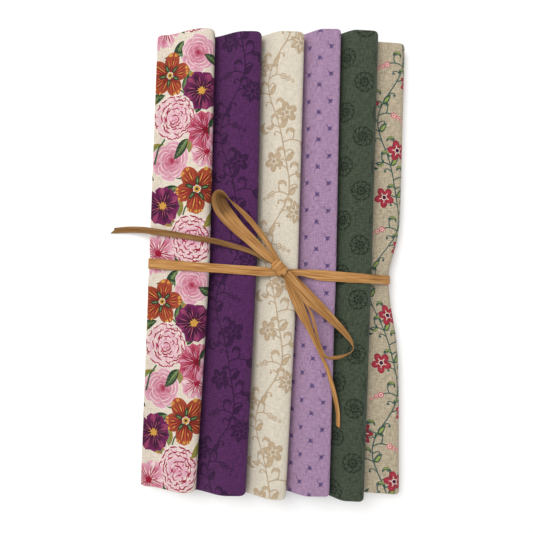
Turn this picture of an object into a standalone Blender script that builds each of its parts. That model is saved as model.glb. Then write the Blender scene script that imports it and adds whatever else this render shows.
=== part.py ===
"""A bundle of six folded fabric cuts, shingled side by side and tied with a flat raffia tie and bow.

Each cut is one sheet folded back and forth into a long strip. Its left side lies on the surface and its
right side lies on the next strip, so the strips rise like roof shingles. The tie goes once round their
waist and ends in a knot, two loops and two loose tails.

The tables hold millimetres, and the meshes metres. The strips run along Y, +X runs from the topmost strip
to the lowest, and z = 0 is the surface below. CENTRE moves the origin under the middle of the bundle's box,
with the loose tails left out.
"""

import math
from collections import namedtuple

import bmesh
import bpy
from mathutils import Vector

MM = 0.001
CENTRE = Vector((6.34, 2.15, 0.0))

# Folded cloth: one section of six layers, each standing for two doubled layers of the real sheet.
LAYERS = 6
SHEET = 1.25
PITCH = 1.55
STRIP_GAP = 0.45

# The waist, where the tie presses the strips together and lifts them by its own thickness.
WAIST_LOW = -11.5
WAIST_HIGH = 5.5
WAIST_FADE = 12.0
WAIST_LIFT = 1.6
WAIST_SQUEEZE = 0.12

# A strip's right and left edges are named at its top end, its waist and its bottom end.
Strip = namedtuple(
    "Strip",
    "name colour right_top right_mid right_low width_top width_mid width_low reach end_top end_low skew",
)
STRIPS = (
    Strip("floral", (0.62, 0.50, 0.44), -36.2, -35.0, -39.3, 37.6, 39.6, 36.2, 0.0, 144.0, -140.4, 1.2),
    Strip("plum", (0.095, 0.028, 0.10), -7.3, -5.9, -8.3, 39.5, 40.0, 39.5, 4.0, 143.2, -141.2, 1.0),
    Strip("cream", (0.66, 0.58, 0.44), 19.0, 19.5, 16.4, 39.0, 39.0, 38.6, 3.4, 144.4, -142.2, -0.6),
    Strip("lilac", (0.37, 0.24, 0.38), 41.3, 42.8, 43.1, 37.5, 37.5, 37.5, 3.6, 146.2, -139.8, 0.8),
    Strip("green", (0.072, 0.088, 0.058), 64.7, 65.1, 64.7, 36.5, 36.5, 36.5, 4.6, 146.4, -141.6, -0.8),
    Strip("linen", (0.52, 0.43, 0.31), 83.6, 84.2, 88.8, 35.2, 35.4, 38.6, 0.0, 143.6, -140.2, -1.6),
)
FLORAL_RISE_FROM = 4.5
RAMP_PAST_EDGE = 2.5
LINEN_PINCH = 5.5
PINCH_MIDDLE = -4.0
PINCH_REACH = 20.0

# How a layer is drawn: shares of the rise where it bends, and the insets of its left end.
RISE_SHARES = (0.0, 0.25, 0.5, 0.75, 1.0)
INNER_END_INSET = 3.0
BOTTOM_END_INSET = 1.6
TOP_TURN_INSET = 1.0
TURN_STEPS = (4, 5, 7)
LEFT_TURN_STEPS = 4

# The raffia tie.
RAFFIA = 0.9
BAND_WIDTH = 6.0
BAND_GAP = 0.35
BAND_LEFT_Y = -0.4
BAND_RIGHT_Y = -6.1
SHORTEST_SIDE = 0.7
KNOT_CENTRE = (8.0, -0.8)
KNOT_SIZE = (6.4, 4.6, 2.7)
KNOT_TURN = math.radians(-44)
KNOT_SIDES = 16
KNOT_RINGS = 8
RAFFIA_COLOUR = (0.52, 0.27, 0.10)

# Routes of the loose tie: x, y and z of the middle, then the width there and how far it leans.
Spot = namedtuple("Spot", "x y z width lean")
LEFT_TAIL = (
    Spot(2.7, 3.3, 22.0, 2.6, 0),
    Spot(-4.0, 6.3, 21.0, 2.8, 0),
    Spot(-11.4, 9.3, 19.7, 3.0, 0),
    Spot(-19.4, 11.5, 19.4, 3.2, 0),
    Spot(-31.7, 14.4, 19.4, 3.4, 0),
    Spot(-43.2, 15.9, 19.4, 3.4, 0),
    Spot(-48.4, 16.7, 18.5, 3.5, 0),
    Spot(-53.0, 17.3, 16.9, 3.7, 0),
    Spot(-59.0, 18.2, 14.9, 3.8, 0),
    Spot(-66.0, 19.1, 12.7, 3.9, 0),
    Spot(-73.0, 19.9, 10.2, 4.0, 0),
    Spot(-79.0, 20.6, 7.4, 4.0, 0),
    Spot(-85.0, 20.9, 4.2, 4.0, 0),
    Spot(-91.5, 20.7, 1.7, 4.0, 0),
    Spot(-99.2, 20.0, 0.9, 3.4, 0),
)
LOW_TAIL = (
    Spot(12.5, -6.0, 22.2, 4.0, 0),
    Spot(15.5, -13.1, 21.0, 5.2, 0),
    Spot(19.4, -21.4, 20.3, 5.8, 0),
    Spot(22.9, -28.6, 20.0, 5.4, 0),
    Spot(26.8, -35.7, 19.7, 4.0, 0),
    Spot(30.2, -43.4, 19.5, 2.6, 0),
    Spot(33.2, -49.6, 19.4, 1.8, 0),
    Spot(36.0, -55.0, 19.4, 1.8, 0),
    Spot(38.6, -60.4, 19.6, 2.2, 0),
    Spot(40.6, -66.0, 19.8, 2.4, 0),
    Spot(42.7, -72.6, 19.8, 2.6, -6),
    Spot(44.8, -80.4, 18.9, 2.6, -16),
    Spot(46.4, -88.1, 17.8, 2.6, -26),
    Spot(47.0, -96.9, 17.5, 2.6, -32),
)
UPPER_LOOP = (
    Spot(3.0, 4.1, 23.9, 3.8, 8),
    Spot(-3.0, 9.4, 24.2, 5.4, 14),
    Spot(-11.6, 16.4, 24.2, 6.4, 20),
    Spot(-20.9, 24.6, 23.9, 7.0, 32),
    Spot(-29.0, 33.6, 23.2, 6.6, 52),
    Spot(-32.4, 39.3, 22.9, 5.6, 72),
    Spot(-32.8, 43.1, 22.9, 5.0, 88),
    Spot(-30.2, 44.7, 23.1, 4.6, 96),
    Spot(-26.5, 42.5, 23.5, 4.2, 104),
    Spot(-20.9, 37.4, 24.0, 3.6, 116),
    Spot(-13.8, 30.5, 24.4, 3.4, 128),
    Spot(-6.7, 22.7, 24.6, 3.2, 140),
    Spot(0.2, 13.9, 24.5, 3.0, 152),
    Spot(5.6, 5.8, 24.2, 2.8, 164),
)
LOWER_LOOP = (
    Spot(13.9, -4.9, 23.9, 4.4, 6),
    Spot(20.0, -10.8, 24.3, 5.6, 14),
    Spot(27.3, -17.8, 24.6, 6.4, 20),
    Spot(34.0, -24.6, 24.7, 6.4, 26),
    Spot(41.6, -31.7, 24.5, 6.0, 34),
    Spot(47.7, -37.6, 24.0, 5.2, 44),
    Spot(52.6, -43.7, 23.3, 4.6, 62),
    Spot(53.6, -48.6, 22.9, 4.2, 80),
    Spot(49.0, -52.0, 22.8, 4.2, 60),
    Spot(43.2, -53.6, 22.9, 4.0, 46),
    Spot(38.0, -52.7, 23.2, 3.2, 60),
    Spot(33.3, -44.1, 23.9, 2.4, 76),
    Spot(30.2, -34.4, 24.4, 2.2, 80),
    Spot(26.5, -25.9, 24.6, 2.2, 84),
    Spot(20.2, -16.6, 24.4, 2.2, 90),
    Spot(12.4, -6.9, 23.9, 2.2, 96),
)


def smooth(share):
    """Rises softly from 0 to 1."""
    share = min(max(share, 0.0), 1.0)
    return share * share * (3.0 - 2.0 * share)


def along(top, mid, low, strip, y):
    """A value named at the strip's two ends and its waist, read between them."""
    if y >= 0.0:
        return mid + (top - mid) * y / strip.end_top
    return mid + (low - mid) * y / strip.end_low


def right_edge(strip, y):
    x = along(strip.right_top, strip.right_mid, strip.right_low, strip, y)
    if strip.name == "linen":
        x -= LINEN_PINCH * math.exp(-(((y - PINCH_MIDDLE) / PINCH_REACH) ** 2))
    return x


def left_edge(strip, y):
    x = along(strip.right_top, strip.right_mid, strip.right_low, strip, y)
    return x - along(strip.width_top, strip.width_mid, strip.width_low, strip, y)


def waist(y):
    """1 under the tie and 0 away from it."""
    outside = max(WAIST_LOW - y, y - WAIST_HIGH, 0.0)
    return 1.0 - outside / WAIST_FADE if outside < WAIST_FADE else 0.0


def pitch(y):
    return PITCH - WAIST_SQUEEZE * waist(y)


def pile(y):
    return SHEET + (LAYERS - 1) * pitch(y)


def rise_span(index, y):
    """Where the strip starts to rise and where it lies on the next strip."""
    until = left_edge(STRIPS[index + 1], y) + RAMP_PAST_EDGE
    if index == 0:
        return left_edge(STRIPS[0], y) + FLORAL_RISE_FROM, until
    return right_edge(STRIPS[index - 1], y) - STRIPS[index].reach, until


def underside(index, x, y):
    """Height of the strip's lowest face: on the surface at its left, on the next strip at its right."""
    if index == len(STRIPS) - 1:
        return 0.0
    start, end = rise_span(index, y)
    carried = pile(y) + STRIP_GAP + underside(index + 1, x, y)
    return smooth((x - start) / (end - start)) * carried


def layer_stops(index, y, inset):
    """The x of each bend of one layer, from its left end to where its right fold begins."""
    strip = STRIPS[index]
    first = left_edge(strip, y) + inset
    last = right_edge(strip, y) - pile(y) / 2
    if index == len(STRIPS) - 1:
        return [first, (first + last) / 2, last]
    start, end = rise_span(index, y)
    return [first] + [start + (end - start) * share for share in RISE_SHARES] + [last]


def turn(x, height, radius, steps, side):
    """Points of a half circle between two layers, from the lower one to the upper one."""
    spots = []
    for step in range(1, steps):
        angle = -math.pi / 2 + math.pi * step / steps
        spots.append((x + side * radius * math.cos(angle), height + radius * math.sin(angle)))
    return spots


def fold_path(index, y):
    """Middle line of the folded sheet as (x, height above the underside).

    The sheet is folded to and fro and then once in half, so its right folds lie inside each other.
    """
    step = pitch(y)
    middle = SHEET / 2 + (LAYERS - 1) * step / 2
    height = [SHEET / 2 + step * level for level in range(LAYERS)]
    left_turn = step / 2 + SHEET / 2
    inset = {
        3: INNER_END_INSET,
        2: left_turn,
        1: left_turn,
        4: left_turn + TOP_TURN_INSET,
        5: left_turn + TOP_TURN_INSET,
        0: BOTTOM_END_INSET,
    }
    stops = {level: layer_stops(index, y, inset[level]) for level in range(LAYERS)}
    fold = right_edge(STRIPS[index], y) - pile(y) / 2

    def to_right(level):
        return [(x, height[level]) for x in stops[level]]

    def to_left(level):
        return to_right(level)[::-1]

    def right_turn(size):
        return turn(fold, middle, (size + 0.5) * step, TURN_STEPS[size], 1)

    def left_fold(lower, level_inset):
        x = left_edge(STRIPS[index], y) + level_inset
        return turn(x, height[lower] + step / 2, step / 2, LEFT_TURN_STEPS, -1)

    path = to_right(3) + right_turn(0)[::-1] + to_left(2)
    path += left_fold(1, inset[1])[::-1] + to_right(1)
    path += right_turn(1) + to_left(4)
    path += left_fold(4, inset[4]) + to_right(5)
    path += right_turn(2)[::-1] + to_left(0)
    return path


def outline(path):
    """The sheet's outline: its middle line moved half a thickness to each side."""
    sides = ([], [])
    for spot, (x, height) in enumerate(path):
        before = Vector(path[max(spot - 1, 0)])
        after = Vector(path[min(spot + 1, len(path) - 1)])
        way = (after - before).normalized()
        sides[0].append((x - way.y * SHEET / 2, height + way.x * SHEET / 2))
        sides[1].append((x + way.y * SHEET / 2, height - way.x * SHEET / 2))
    return sides[0] + sides[1][::-1]


def section(index, y):
    """The strip's outline across, at y, as (x, z)."""
    spots = []
    for x, height in outline(fold_path(index, y)):
        lift = WAIST_LIFT * waist(y)
        spots.append((x, lift + underside(index, x, y) + height))
    return spots


def stations(strip):
    """The places along the strip where its section is drawn."""
    return (
        strip.end_low,
        WAIST_LOW - WAIST_FADE,
        WAIST_LOW,
        WAIST_HIGH,
        WAIST_HIGH + WAIST_FADE,
        strip.end_top,
    )


def material(name, colour, roughness):
    made = bpy.data.materials.new(name)
    made.use_nodes = True
    shader = made.node_tree.nodes["Principled BSDF"]
    shader.inputs["Base Color"].default_value = (*colour, 1.0)
    shader.inputs["Roughness"].default_value = roughness
    shader.inputs["Metallic"].default_value = 0.0
    return made


def add_object(name, points, faces, colour, roughness):
    """Adds one closed mesh, turned from millimetres round the bundle into metres round the origin."""
    mesh = bpy.data.meshes.new(name)
    mesh.from_pydata([(Vector(point) - CENTRE) * MM for point in points], [], faces)
    shape = bmesh.new()
    shape.from_mesh(mesh)
    bmesh.ops.recalc_face_normals(shape, faces=shape.faces)
    shape.to_mesh(mesh)
    shape.free()
    mesh.shade_smooth()
    mesh.set_sharp_from_angle(angle=math.radians(40))
    mesh.materials.append(material(name, colour, roughness))
    made = bpy.data.objects.new(name, mesh)
    bpy.context.scene.collection.objects.link(made)
    return made


def skin(rings, closed):
    """Faces that join rings of equal size, each to the next, and the last to the first if closed."""
    size = len(rings[0])
    faces = []
    count = len(rings) if closed else len(rings) - 1
    for ring in range(count):
        here = ring * size
        there = (ring + 1) % len(rings) * size
        for corner in range(size):
            after = (corner + 1) % size
            faces.append((here + corner, here + after, there + after, there + corner))
    return faces


def build_strip(index):
    strip = STRIPS[index]
    rings = []
    for y in stations(strip):
        ring = []
        for x, z in section(index, y):
            slant = 0.0
            if y in (strip.end_low, strip.end_top):
                middle = right_edge(strip, y) - strip.width_mid / 2
                slant = strip.skew * (x - middle) / strip.width_mid
            ring.append((x, y + slant, z))
        rings.append(ring)
    faces = skin(rings, closed=False)
    size = len(rings[0])
    last = (len(rings) - 1) * size
    for corner in range(size // 2 - 1):
        other = size - 1 - corner
        faces.append((corner, other, other - 1, corner + 1))
        faces.append((last + corner, last + corner + 1, last + other - 1, last + other))
    points = [point for ring in rings for point in ring]
    add_object("cloth_" + strip.name, points, faces, strip.colour, 0.9)


def hull(spots):
    """The convex outline of flat points, turning left."""
    ordered = sorted(set(spots))

    def half(run):
        kept = []
        for spot in run:
            while len(kept) > 1 and turns_right(kept[-2], kept[-1], spot):
                kept.pop()
            kept.append(spot)
        return kept[:-1]

    return half(ordered) + half(ordered[::-1])


def turns_right(a, b, c):
    return (b[0] - a[0]) * (c[1] - a[1]) - (b[1] - a[1]) * (c[0] - a[0]) <= 0.0


def band_line():
    """The tie's middle line round the waist, as (x, z) with the outward direction at each point."""
    spots = []
    for y in (WAIST_LOW, WAIST_HIGH):
        for index in range(len(STRIPS)):
            spots += section(index, y)
    kept = []
    for spot in hull(spots):
        if not kept or math.dist(spot, kept[-1]) > SHORTEST_SIDE:
            kept.append(spot)
    line = []
    for place, spot in enumerate(kept):
        here = Vector(spot)
        into = (here - Vector(kept[place - 1])).normalized()
        out_of = (Vector(kept[(place + 1) % len(kept)]) - here).normalized()
        way = (into + out_of).normalized()
        outward = Vector((way.y, -way.x))
        stretch = 1.0 / max(outward.dot(Vector((into.y, -into.x))), 0.5)
        line.append((here + outward * (BAND_GAP + RAFFIA / 2) * stretch, outward * stretch))
    return line


def band_y(x):
    left = left_edge(STRIPS[0], 0.0)
    right = right_edge(STRIPS[-1], PINCH_MIDDLE)
    share = (x - left) / (right - left)
    return BAND_LEFT_Y + (BAND_RIGHT_Y - BAND_LEFT_Y) * share


def build_band():
    rings = []
    for middle, outward in band_line():
        ring = []
        for across, lift in ((-1, -1), (1, -1), (1, 1), (-1, 1)):
            place = middle + outward * (lift * RAFFIA / 2)
            ring.append((place.x, band_y(middle.x) + across * BAND_WIDTH / 2, place.y))
        rings.append(ring)
    faces = skin(rings, closed=True)
    add_object("tie_band", [spot for ring in rings for spot in ring], faces, RAFFIA_COLOUR, 0.6)


def band_top(x):
    """Height of the tie's upper face at x."""
    line = [middle + outward * (RAFFIA / 2) for middle, outward in band_line()]
    best = 0.0
    for place, spot in enumerate(line):
        before = line[place - 1]
        low, high = sorted((before.x, spot.x))
        if low <= x <= high and high - low > 0.0:
            share = (x - before.x) / (spot.x - before.x)
            best = max(best, before.y + (spot.y - before.y) * share)
    return best


def knot_middle():
    """Centre of the knot, set on the tie."""
    under = max(band_top(KNOT_CENTRE[0] - KNOT_SIZE[0] / 2), band_top(KNOT_CENTRE[0]))
    return Vector((*KNOT_CENTRE, under + BAND_GAP + KNOT_SIZE[2]))


def build_knot():
    """A pillow with soft corners, flat below, its longer side along the slanted wrap."""
    centre = knot_middle()
    points = []
    for ring in range(1, KNOT_RINGS):
        tilt = math.pi * ring / KNOT_RINGS
        round_share = math.sin(tilt) ** 0.7
        height = KNOT_SIZE[2] * math.cos(tilt)
        for side in range(KNOT_SIDES):
            angle = 2 * math.pi * side / KNOT_SIDES
            pleat = 1.0 + 0.06 * math.cos(4 * angle)
            x = KNOT_SIZE[0] * round_share * pleat * math.cos(angle)
            y = KNOT_SIZE[1] * round_share * pleat * math.sin(angle)
            turned_x = x * math.cos(KNOT_TURN) - y * math.sin(KNOT_TURN)
            turned_y = x * math.sin(KNOT_TURN) + y * math.cos(KNOT_TURN)
            points.append((centre.x + turned_x, centre.y + turned_y, centre.z + height))
    count = KNOT_RINGS - 1
    faces = []
    for ring in range(count - 1):
        for side in range(KNOT_SIDES):
            after = (side + 1) % KNOT_SIDES
            here = ring * KNOT_SIDES
            there = here + KNOT_SIDES
            faces.append((here + side, there + side, there + after, here + after))
    faces.append(tuple(range(KNOT_SIDES)))
    faces.append(tuple(range(count * KNOT_SIDES - 1, (count - 1) * KNOT_SIDES - 1, -1)))
    add_object("tie_knot", points, faces, RAFFIA_COLOUR, 0.6)


def eased(spots, parts):
    """Points on a smooth line through the route's spots, with width and lean read between them."""
    values = [tuple(spot) for spot in spots]
    line = []
    for place in range(len(values) - 1):
        a = values[max(place - 1, 0)]
        b = values[place]
        c = values[place + 1]
        d = values[min(place + 2, len(values) - 1)]
        for part in range(parts):
            t = part / parts
            line.append(
                tuple(
                    0.5
                    * (
                        2 * q
                        + (r - p) * t
                        + (2 * p - 5 * q + 4 * r - s) * t * t
                        + (3 * q - p - 3 * r + s) * t * t * t
                    )
                    for p, q, r, s in zip(a, b, c, d)
                )
            )
    line.append(values[-1])
    return line


def build_ribbon(name, spots, parts):
    """A flat strip of raffia along its route, as wide and as leaned as the route says."""
    line = eased(spots, parts)
    rings = []
    for place, (x, y, z, width, lean) in enumerate(line):
        here = Vector((x, y, z))
        before = Vector(line[max(place - 1, 0)][:3])
        after = Vector(line[min(place + 1, len(line) - 1)][:3])
        way = (after - before).normalized()
        level = way.cross(Vector((0, 0, 1))).normalized()
        rise = level.cross(way)
        turned = math.radians(lean)
        across = level * math.cos(turned) + rise * math.sin(turned)
        face = way.cross(across)
        ring = []
        for side, lift in ((-1, -1), (1, -1), (1, 1), (-1, 1)):
            ring.append(here + across * (side * width / 2) + face * (lift * RAFFIA / 2))
        rings.append(ring)
    faces = skin(rings, closed=False)
    last = 4 * (len(rings) - 1)
    faces.append((3, 2, 1, 0))
    faces.append((last, last + 1, last + 2, last + 3))
    add_object(name, [tuple(spot) for ring in rings for spot in ring], faces, RAFFIA_COLOUR, 0.6)


def clear_scene():
    for old in list(bpy.data.objects):
        bpy.data.objects.remove(old, do_unlink=True)


def main():
    clear_scene()
    for index in range(len(STRIPS)):
        build_strip(index)
    build_band()
    build_knot()
    build_ribbon("tail_left", LEFT_TAIL, 2)
    build_ribbon("tail_low", LOW_TAIL, 2)
    build_ribbon("bow_upper", UPPER_LOOP, 2)
    build_ribbon("bow_lower", LOWER_LOOP, 2)


main()
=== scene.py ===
"""Looks of the tied bundle of folded fabric cuts.

Every cut of cotton is one sheet, doubled and then folded back and forth inside the space of its solid. Its
outer ply carries the print, drawn as filled shapes that are cut into the sheet's own flat pattern, so they
bend with the folds. The raffia band, knot, loops and tails are pleated ribbons on the routes of their solids.

Tables hold millimetres in the bundle's own frame, and CENTRE moves them into the row frame, in metres.
"""

import math
import random
from collections import namedtuple
from math import cos, exp, pi, sin

import bmesh
import bpy
import numpy as np
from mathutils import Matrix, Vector, noise
from mathutils.geometry import delaunay_2d_cdt


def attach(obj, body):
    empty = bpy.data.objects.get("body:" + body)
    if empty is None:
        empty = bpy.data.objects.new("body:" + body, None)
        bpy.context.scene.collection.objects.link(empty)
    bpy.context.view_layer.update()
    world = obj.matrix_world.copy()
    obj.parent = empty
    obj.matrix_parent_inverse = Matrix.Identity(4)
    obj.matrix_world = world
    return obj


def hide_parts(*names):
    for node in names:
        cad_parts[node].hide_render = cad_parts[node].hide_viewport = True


MM = 0.001
CENTRE = (6.34, 2.15, 0.0)

# The folded strips, as in the solids.
LAYERS = 6
SHEET = 1.25
PITCH = 1.55
STRIP_GAP = 0.45
WAIST_LOW = -11.5
WAIST_HIGH = 5.5
WAIST_FADE = 12.0
WAIST_LIFT = 1.6
WAIST_SQUEEZE = 0.12
Strip = namedtuple(
    "Strip",
    "name right_top right_mid right_low width_top width_mid width_low reach end_top end_low skew",
)
STRIPS = (
    Strip("floral", -36.2, -35.0, -39.3, 37.6, 39.6, 36.2, 0.0, 144.0, -140.4, 1.2),
    Strip("plum", -7.3, -5.9, -8.3, 39.5, 40.0, 39.5, 4.0, 143.2, -141.2, 1.0),
    Strip("cream", 19.0, 19.5, 16.4, 39.0, 39.0, 38.6, 3.4, 144.4, -142.2, -0.6),
    Strip("lilac", 41.3, 42.8, 43.1, 37.5, 37.5, 37.5, 3.6, 146.2, -139.8, 0.8),
    Strip("green", 64.7, 65.1, 64.7, 36.5, 36.5, 36.5, 4.6, 146.4, -141.6, -0.8),
    Strip("linen", 83.6, 84.2, 88.8, 35.2, 35.4, 38.6, 0.0, 143.6, -140.2, -1.6),
)
FLORAL_RISE_FROM = 4.5
RAMP_PAST_EDGE = 2.5
LINEN_PINCH = 6.8
PINCH_MIDDLE = -5.0
PINCH_REACH_UP = 20.0
PINCH_REACH_DOWN = 32.0
FLORAL_PINCH = 1.3
FLORAL_PINCH_REACH = 6.0
BAND_LEFT_Y = -0.4
BAND_RIGHT_Y = -6.1

# The real sheet: a cut of 46 by 56 cm, doubled to 28 cm, in twelve doubled layers.
DOUBLED_LAYERS = 12
PLY = 0.20
PLY_APART = 0.27
SKIN_PLY = 0.24
SKIN_INSET = 0.05
INNER_ROOM = 0.92

# Samples along the outer ply: its left turn, top, right fold and underside.
TURN_SAMPLES = 5
TOP_SAMPLES = 60
FOLD_SAMPLES = 20
UNDER_SAMPLES = 30
LENGTH_SAMPLES = 90
LEFT_TURN_RADIUS = 0.7
SKIN_LEFT = 0.6
UNDER_LEFT = 1.0
UNEVEN_ROUND_FOLD = 1.6

# The cut pattern: its lines across, and the smallest areas of shapes, on top and on the underside.
CROSS_LINES = 48
SMALLEST_SHAPE = 0.04
FINE_SHAPE = 7.0
UNDERSIDE_FROM = 9.0
PRINT_MARGIN = 0.25
MERGE_WITHIN = 0.01
CELL = 2.0


def grain(x, y, z):
    """Smooth noise between about -1 and 1."""
    return noise.noise(Vector((x, y, z)))


def smooth(share):
    """Rises softly from 0 to 1."""
    share = min(max(share, 0.0), 1.0)
    return share * share * (3.0 - 2.0 * share)


def along(top, mid, low, strip, y):
    """A value named at the strip's two ends and its waist, read between them."""
    if y >= 0.0:
        return mid + (top - mid) * y / strip.end_top
    return mid + (low - mid) * y / strip.end_low


def right_edge(strip, y):
    x = along(strip.right_top, strip.right_mid, strip.right_low, strip, y)
    if strip.name == "linen":
        reach = PINCH_REACH_UP if y > PINCH_MIDDLE else PINCH_REACH_DOWN
        x -= LINEN_PINCH * exp(-(((y - PINCH_MIDDLE) / reach) ** 2))
    return x


def left_edge(strip, y):
    x = along(strip.right_top, strip.right_mid, strip.right_low, strip, y)
    x -= along(strip.width_top, strip.width_mid, strip.width_low, strip, y)
    if strip.name == "floral":
        x += FLORAL_PINCH * exp(-(((y - BAND_LEFT_Y) / FLORAL_PINCH_REACH) ** 2))
    return x


def waist(y):
    """1 under the tie and 0 away from it."""
    outside = max(WAIST_LOW - y, y - WAIST_HIGH, 0.0)
    return smooth(1.0 - outside / WAIST_FADE)


def pile(y):
    return SHEET + (LAYERS - 1) * (PITCH - WAIST_SQUEEZE * waist(y))


def rise_span(index, y):
    """Where the strip starts to rise and where it lies on the next strip."""
    until = left_edge(STRIPS[index + 1], y) + RAMP_PAST_EDGE
    if index == 0:
        return left_edge(STRIPS[0], y) + FLORAL_RISE_FROM, until
    return right_edge(STRIPS[index - 1], y) - STRIPS[index].reach, until


def underside(index, x, y):
    """Height of the strip's lowest face: on the surface at its left, on the next strip at its right."""
    if index == len(STRIPS) - 1:
        return 0.0
    start, end = rise_span(index, y)
    carried = pile(y) + STRIP_GAP + underside(index + 1, x, y)
    return smooth((x - start) / (end - start)) * carried


def end_slant(strip, x, y):
    """How far the strip's slanted ends move a point along it."""
    middle = right_edge(strip, y) - strip.width_mid / 2
    far = strip.end_top if y > 0.0 else -strip.end_low
    return strip.skew * (x - middle) / strip.width_mid * min(abs(y) / far, 1.0)


CORNER_REACH = 14.0
LEFT_CORNER = 3.4
LEFT_CORNER_WIDTH = 5.0
RIGHT_CORNER = 2.0
RIGHT_CORNER_WIDTH = 3.2


def corner_pull(strip, x, y):
    """How far the rounded corners of the strip's ends draw a point back towards its middle."""
    far = strip.end_top if y > 0.0 else -strip.end_low
    near_end = smooth((abs(y) - far + CORNER_REACH) / CORNER_REACH)
    left = min(max(1.0 - (x - left_edge(strip, y)) / LEFT_CORNER_WIDTH, 0.0), 1.0)
    right = min(max(1.0 - (right_edge(strip, y) - x) / RIGHT_CORNER_WIDTH, 0.0), 1.0)
    pull = LEFT_CORNER * (1.0 - math.sqrt(1.0 - left * left))
    pull += RIGHT_CORNER * (1.0 - math.sqrt(1.0 - right * right))
    return -math.copysign(pull * near_end, y)


def to_row(spot):
    """From the bundle's millimetres to the row frame's metres."""
    return tuple((value - centre) * MM for value, centre in zip(spot, CENTRE))


# Creases pressed into the cloth beside the tie: strip, share across, side, reach, depth and breadth.
Crease = namedtuple("Crease", "strip share side reach depth breadth")
CREASES = (
    Crease("floral", 0.30, 1, 34.0, 0.55, 2.6),
    Crease("floral", 0.62, -1, 46.0, 0.60, 3.0),
    Crease("floral", 0.80, 1, 26.0, 0.40, 2.2),
    Crease("plum", 0.72, -1, 38.0, 0.45, 2.6),
    Crease("plum", 0.55, 1, 30.0, 0.40, 2.8),
    Crease("cream", 0.66, 1, 34.0, 0.45, 2.4),
    Crease("cream", 0.80, -1, 44.0, 0.50, 2.8),
    Crease("lilac", 0.74, 1, 30.0, 0.40, 2.2),
    Crease("lilac", 0.62, -1, 36.0, 0.40, 2.4),
    Crease("green", 0.76, -1, 40.0, 0.45, 2.4),
    Crease("green", 0.68, 1, 32.0, 0.40, 2.4),
    Crease("linen", 0.70, 1, 44.0, 0.80, 3.2),
    Crease("linen", 0.86, -1, 40.0, 0.90, 3.0),
    Crease("linen", 0.58, -1, 52.0, 0.60, 3.4),
)
# Creases fan out from this share across, and grow broader by their fan over this length.
CREASE_FAN = 0.10
CREASE_FAN_FROM = 0.7
CREASE_BROADENS = 10.0

# The soft unevenness of the top layer and how it fades in past a strip's edge or the strip above.
UNEVEN = 0.26
DEEPEST = 0.62
UNEVEN_SIZE = 26.0
UNEVEN_STRETCH = 2.2
EDGE_FADE = 6.0
COVER_PAST = 1.0
COVER_FADE = 5.0


def unevenness(index, x, y):
    """Soft rises and troughs of the top layer: a slow unevenness and the creases beside the tie."""
    strip = STRIPS[index]
    left, right = left_edge(strip, y), right_edge(strip, y)
    shown = smooth((x - left) / EDGE_FADE)
    if index:
        shown = smooth((x - right_edge(STRIPS[index - 1], y) - COVER_PAST) / COVER_FADE)
    height = UNEVEN * grain(x / UNEVEN_SIZE, y / (UNEVEN_STRETCH * UNEVEN_SIZE), index * 7.3)
    tie_y = band_y(x)
    for crease in CREASES:
        if crease.strip != strip.name:
            continue
        away = (y - tie_y) * crease.side
        if not 0.0 < away < crease.reach:
            continue
        fan = 1.0 + CREASE_FAN * away / CREASE_BROADENS
        middle = left + (right - left) * crease.share
        middle += CREASE_FAN * away * (crease.share - CREASE_FAN_FROM)
        side = (x - middle) / (crease.breadth * fan)
        height -= crease.depth * exp(-side * side) * (1.0 - smooth(away / crease.reach))
    return shown * max(height, -DEEPEST)


def band_y(x):
    """The band's place along the bundle, at a place across it."""
    left = left_edge(STRIPS[0], 0.0)
    right = right_edge(STRIPS[-1], PINCH_MIDDLE)
    return BAND_LEFT_Y + (BAND_RIGHT_Y - BAND_LEFT_Y) * (x - left) / (right - left)


def skin_section(index, y):
    """The outer ply across the strip, as (x, height above the underside, share that is uneven)."""
    strip = STRIPS[index]
    thick = pile(y)
    left = left_edge(strip, y) + SKIN_LEFT
    fold = right_edge(strip, y) - thick / 2
    high = thick - SKIN_INSET
    spots = []
    for step in range(TURN_SAMPLES):
        angle = pi / 2 * (1.0 - step / TURN_SAMPLES)
        x = left + LEFT_TURN_RADIUS * (1.0 - sin(angle))
        spots.append((x, high - LEFT_TURN_RADIUS * (1.0 - cos(angle)), 0.0))
    start = left + LEFT_TURN_RADIUS
    for step in range(TOP_SAMPLES):
        x = start + (fold - start) * step / TOP_SAMPLES
        spots.append((x, high, 1.0))
    radius = thick / 2 - SKIN_INSET
    for step in range(FOLD_SAMPLES):
        angle = pi / 2 - pi * step / FOLD_SAMPLES
        share = max(0.0, 1.0 - UNEVEN_ROUND_FOLD * step / FOLD_SAMPLES)
        spots.append((fold + radius * cos(angle), thick / 2 + radius * sin(angle), share))
    for step in range(UNDER_SAMPLES + 1):
        x = fold + (left + UNDER_LEFT - fold) * step / UNDER_SAMPLES
        spots.append((x, SKIN_INSET, 0.0))
    return spots


def skin_grid(index):
    """Places of the outer ply on a grid: rows along the strip and columns round its section."""
    strip = STRIPS[index]
    rows = []
    for step in range(LENGTH_SAMPLES + 1):
        y = strip.end_low + (strip.end_top - strip.end_low) * step / LENGTH_SAMPLES
        lift = WAIST_LIFT * waist(y)
        row = []
        for x, height, uneven in skin_section(index, y):
            z = lift + underside(index, x, y) + height
            if uneven > 0.0:
                z += uneven * unevenness(index, x, y)
            row.append((x, y + end_slant(strip, x, y) + corner_pull(strip, x, y), z))
        rows.append(row)
    return np.array(rows)


def flat_columns(grid):
    """How far each column of the grid lies round the section, in millimetres, from the right fold."""
    row = grid[LENGTH_SAMPLES // 4]
    steps = np.linalg.norm(np.diff(row[:, (0, 2)], axis=0), axis=1)
    run = np.concatenate(([0.0], np.cumsum(steps)))
    outermost = TURN_SAMPLES + TOP_SAMPLES + FOLD_SAMPLES // 2
    return run - run[outermost]


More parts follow.
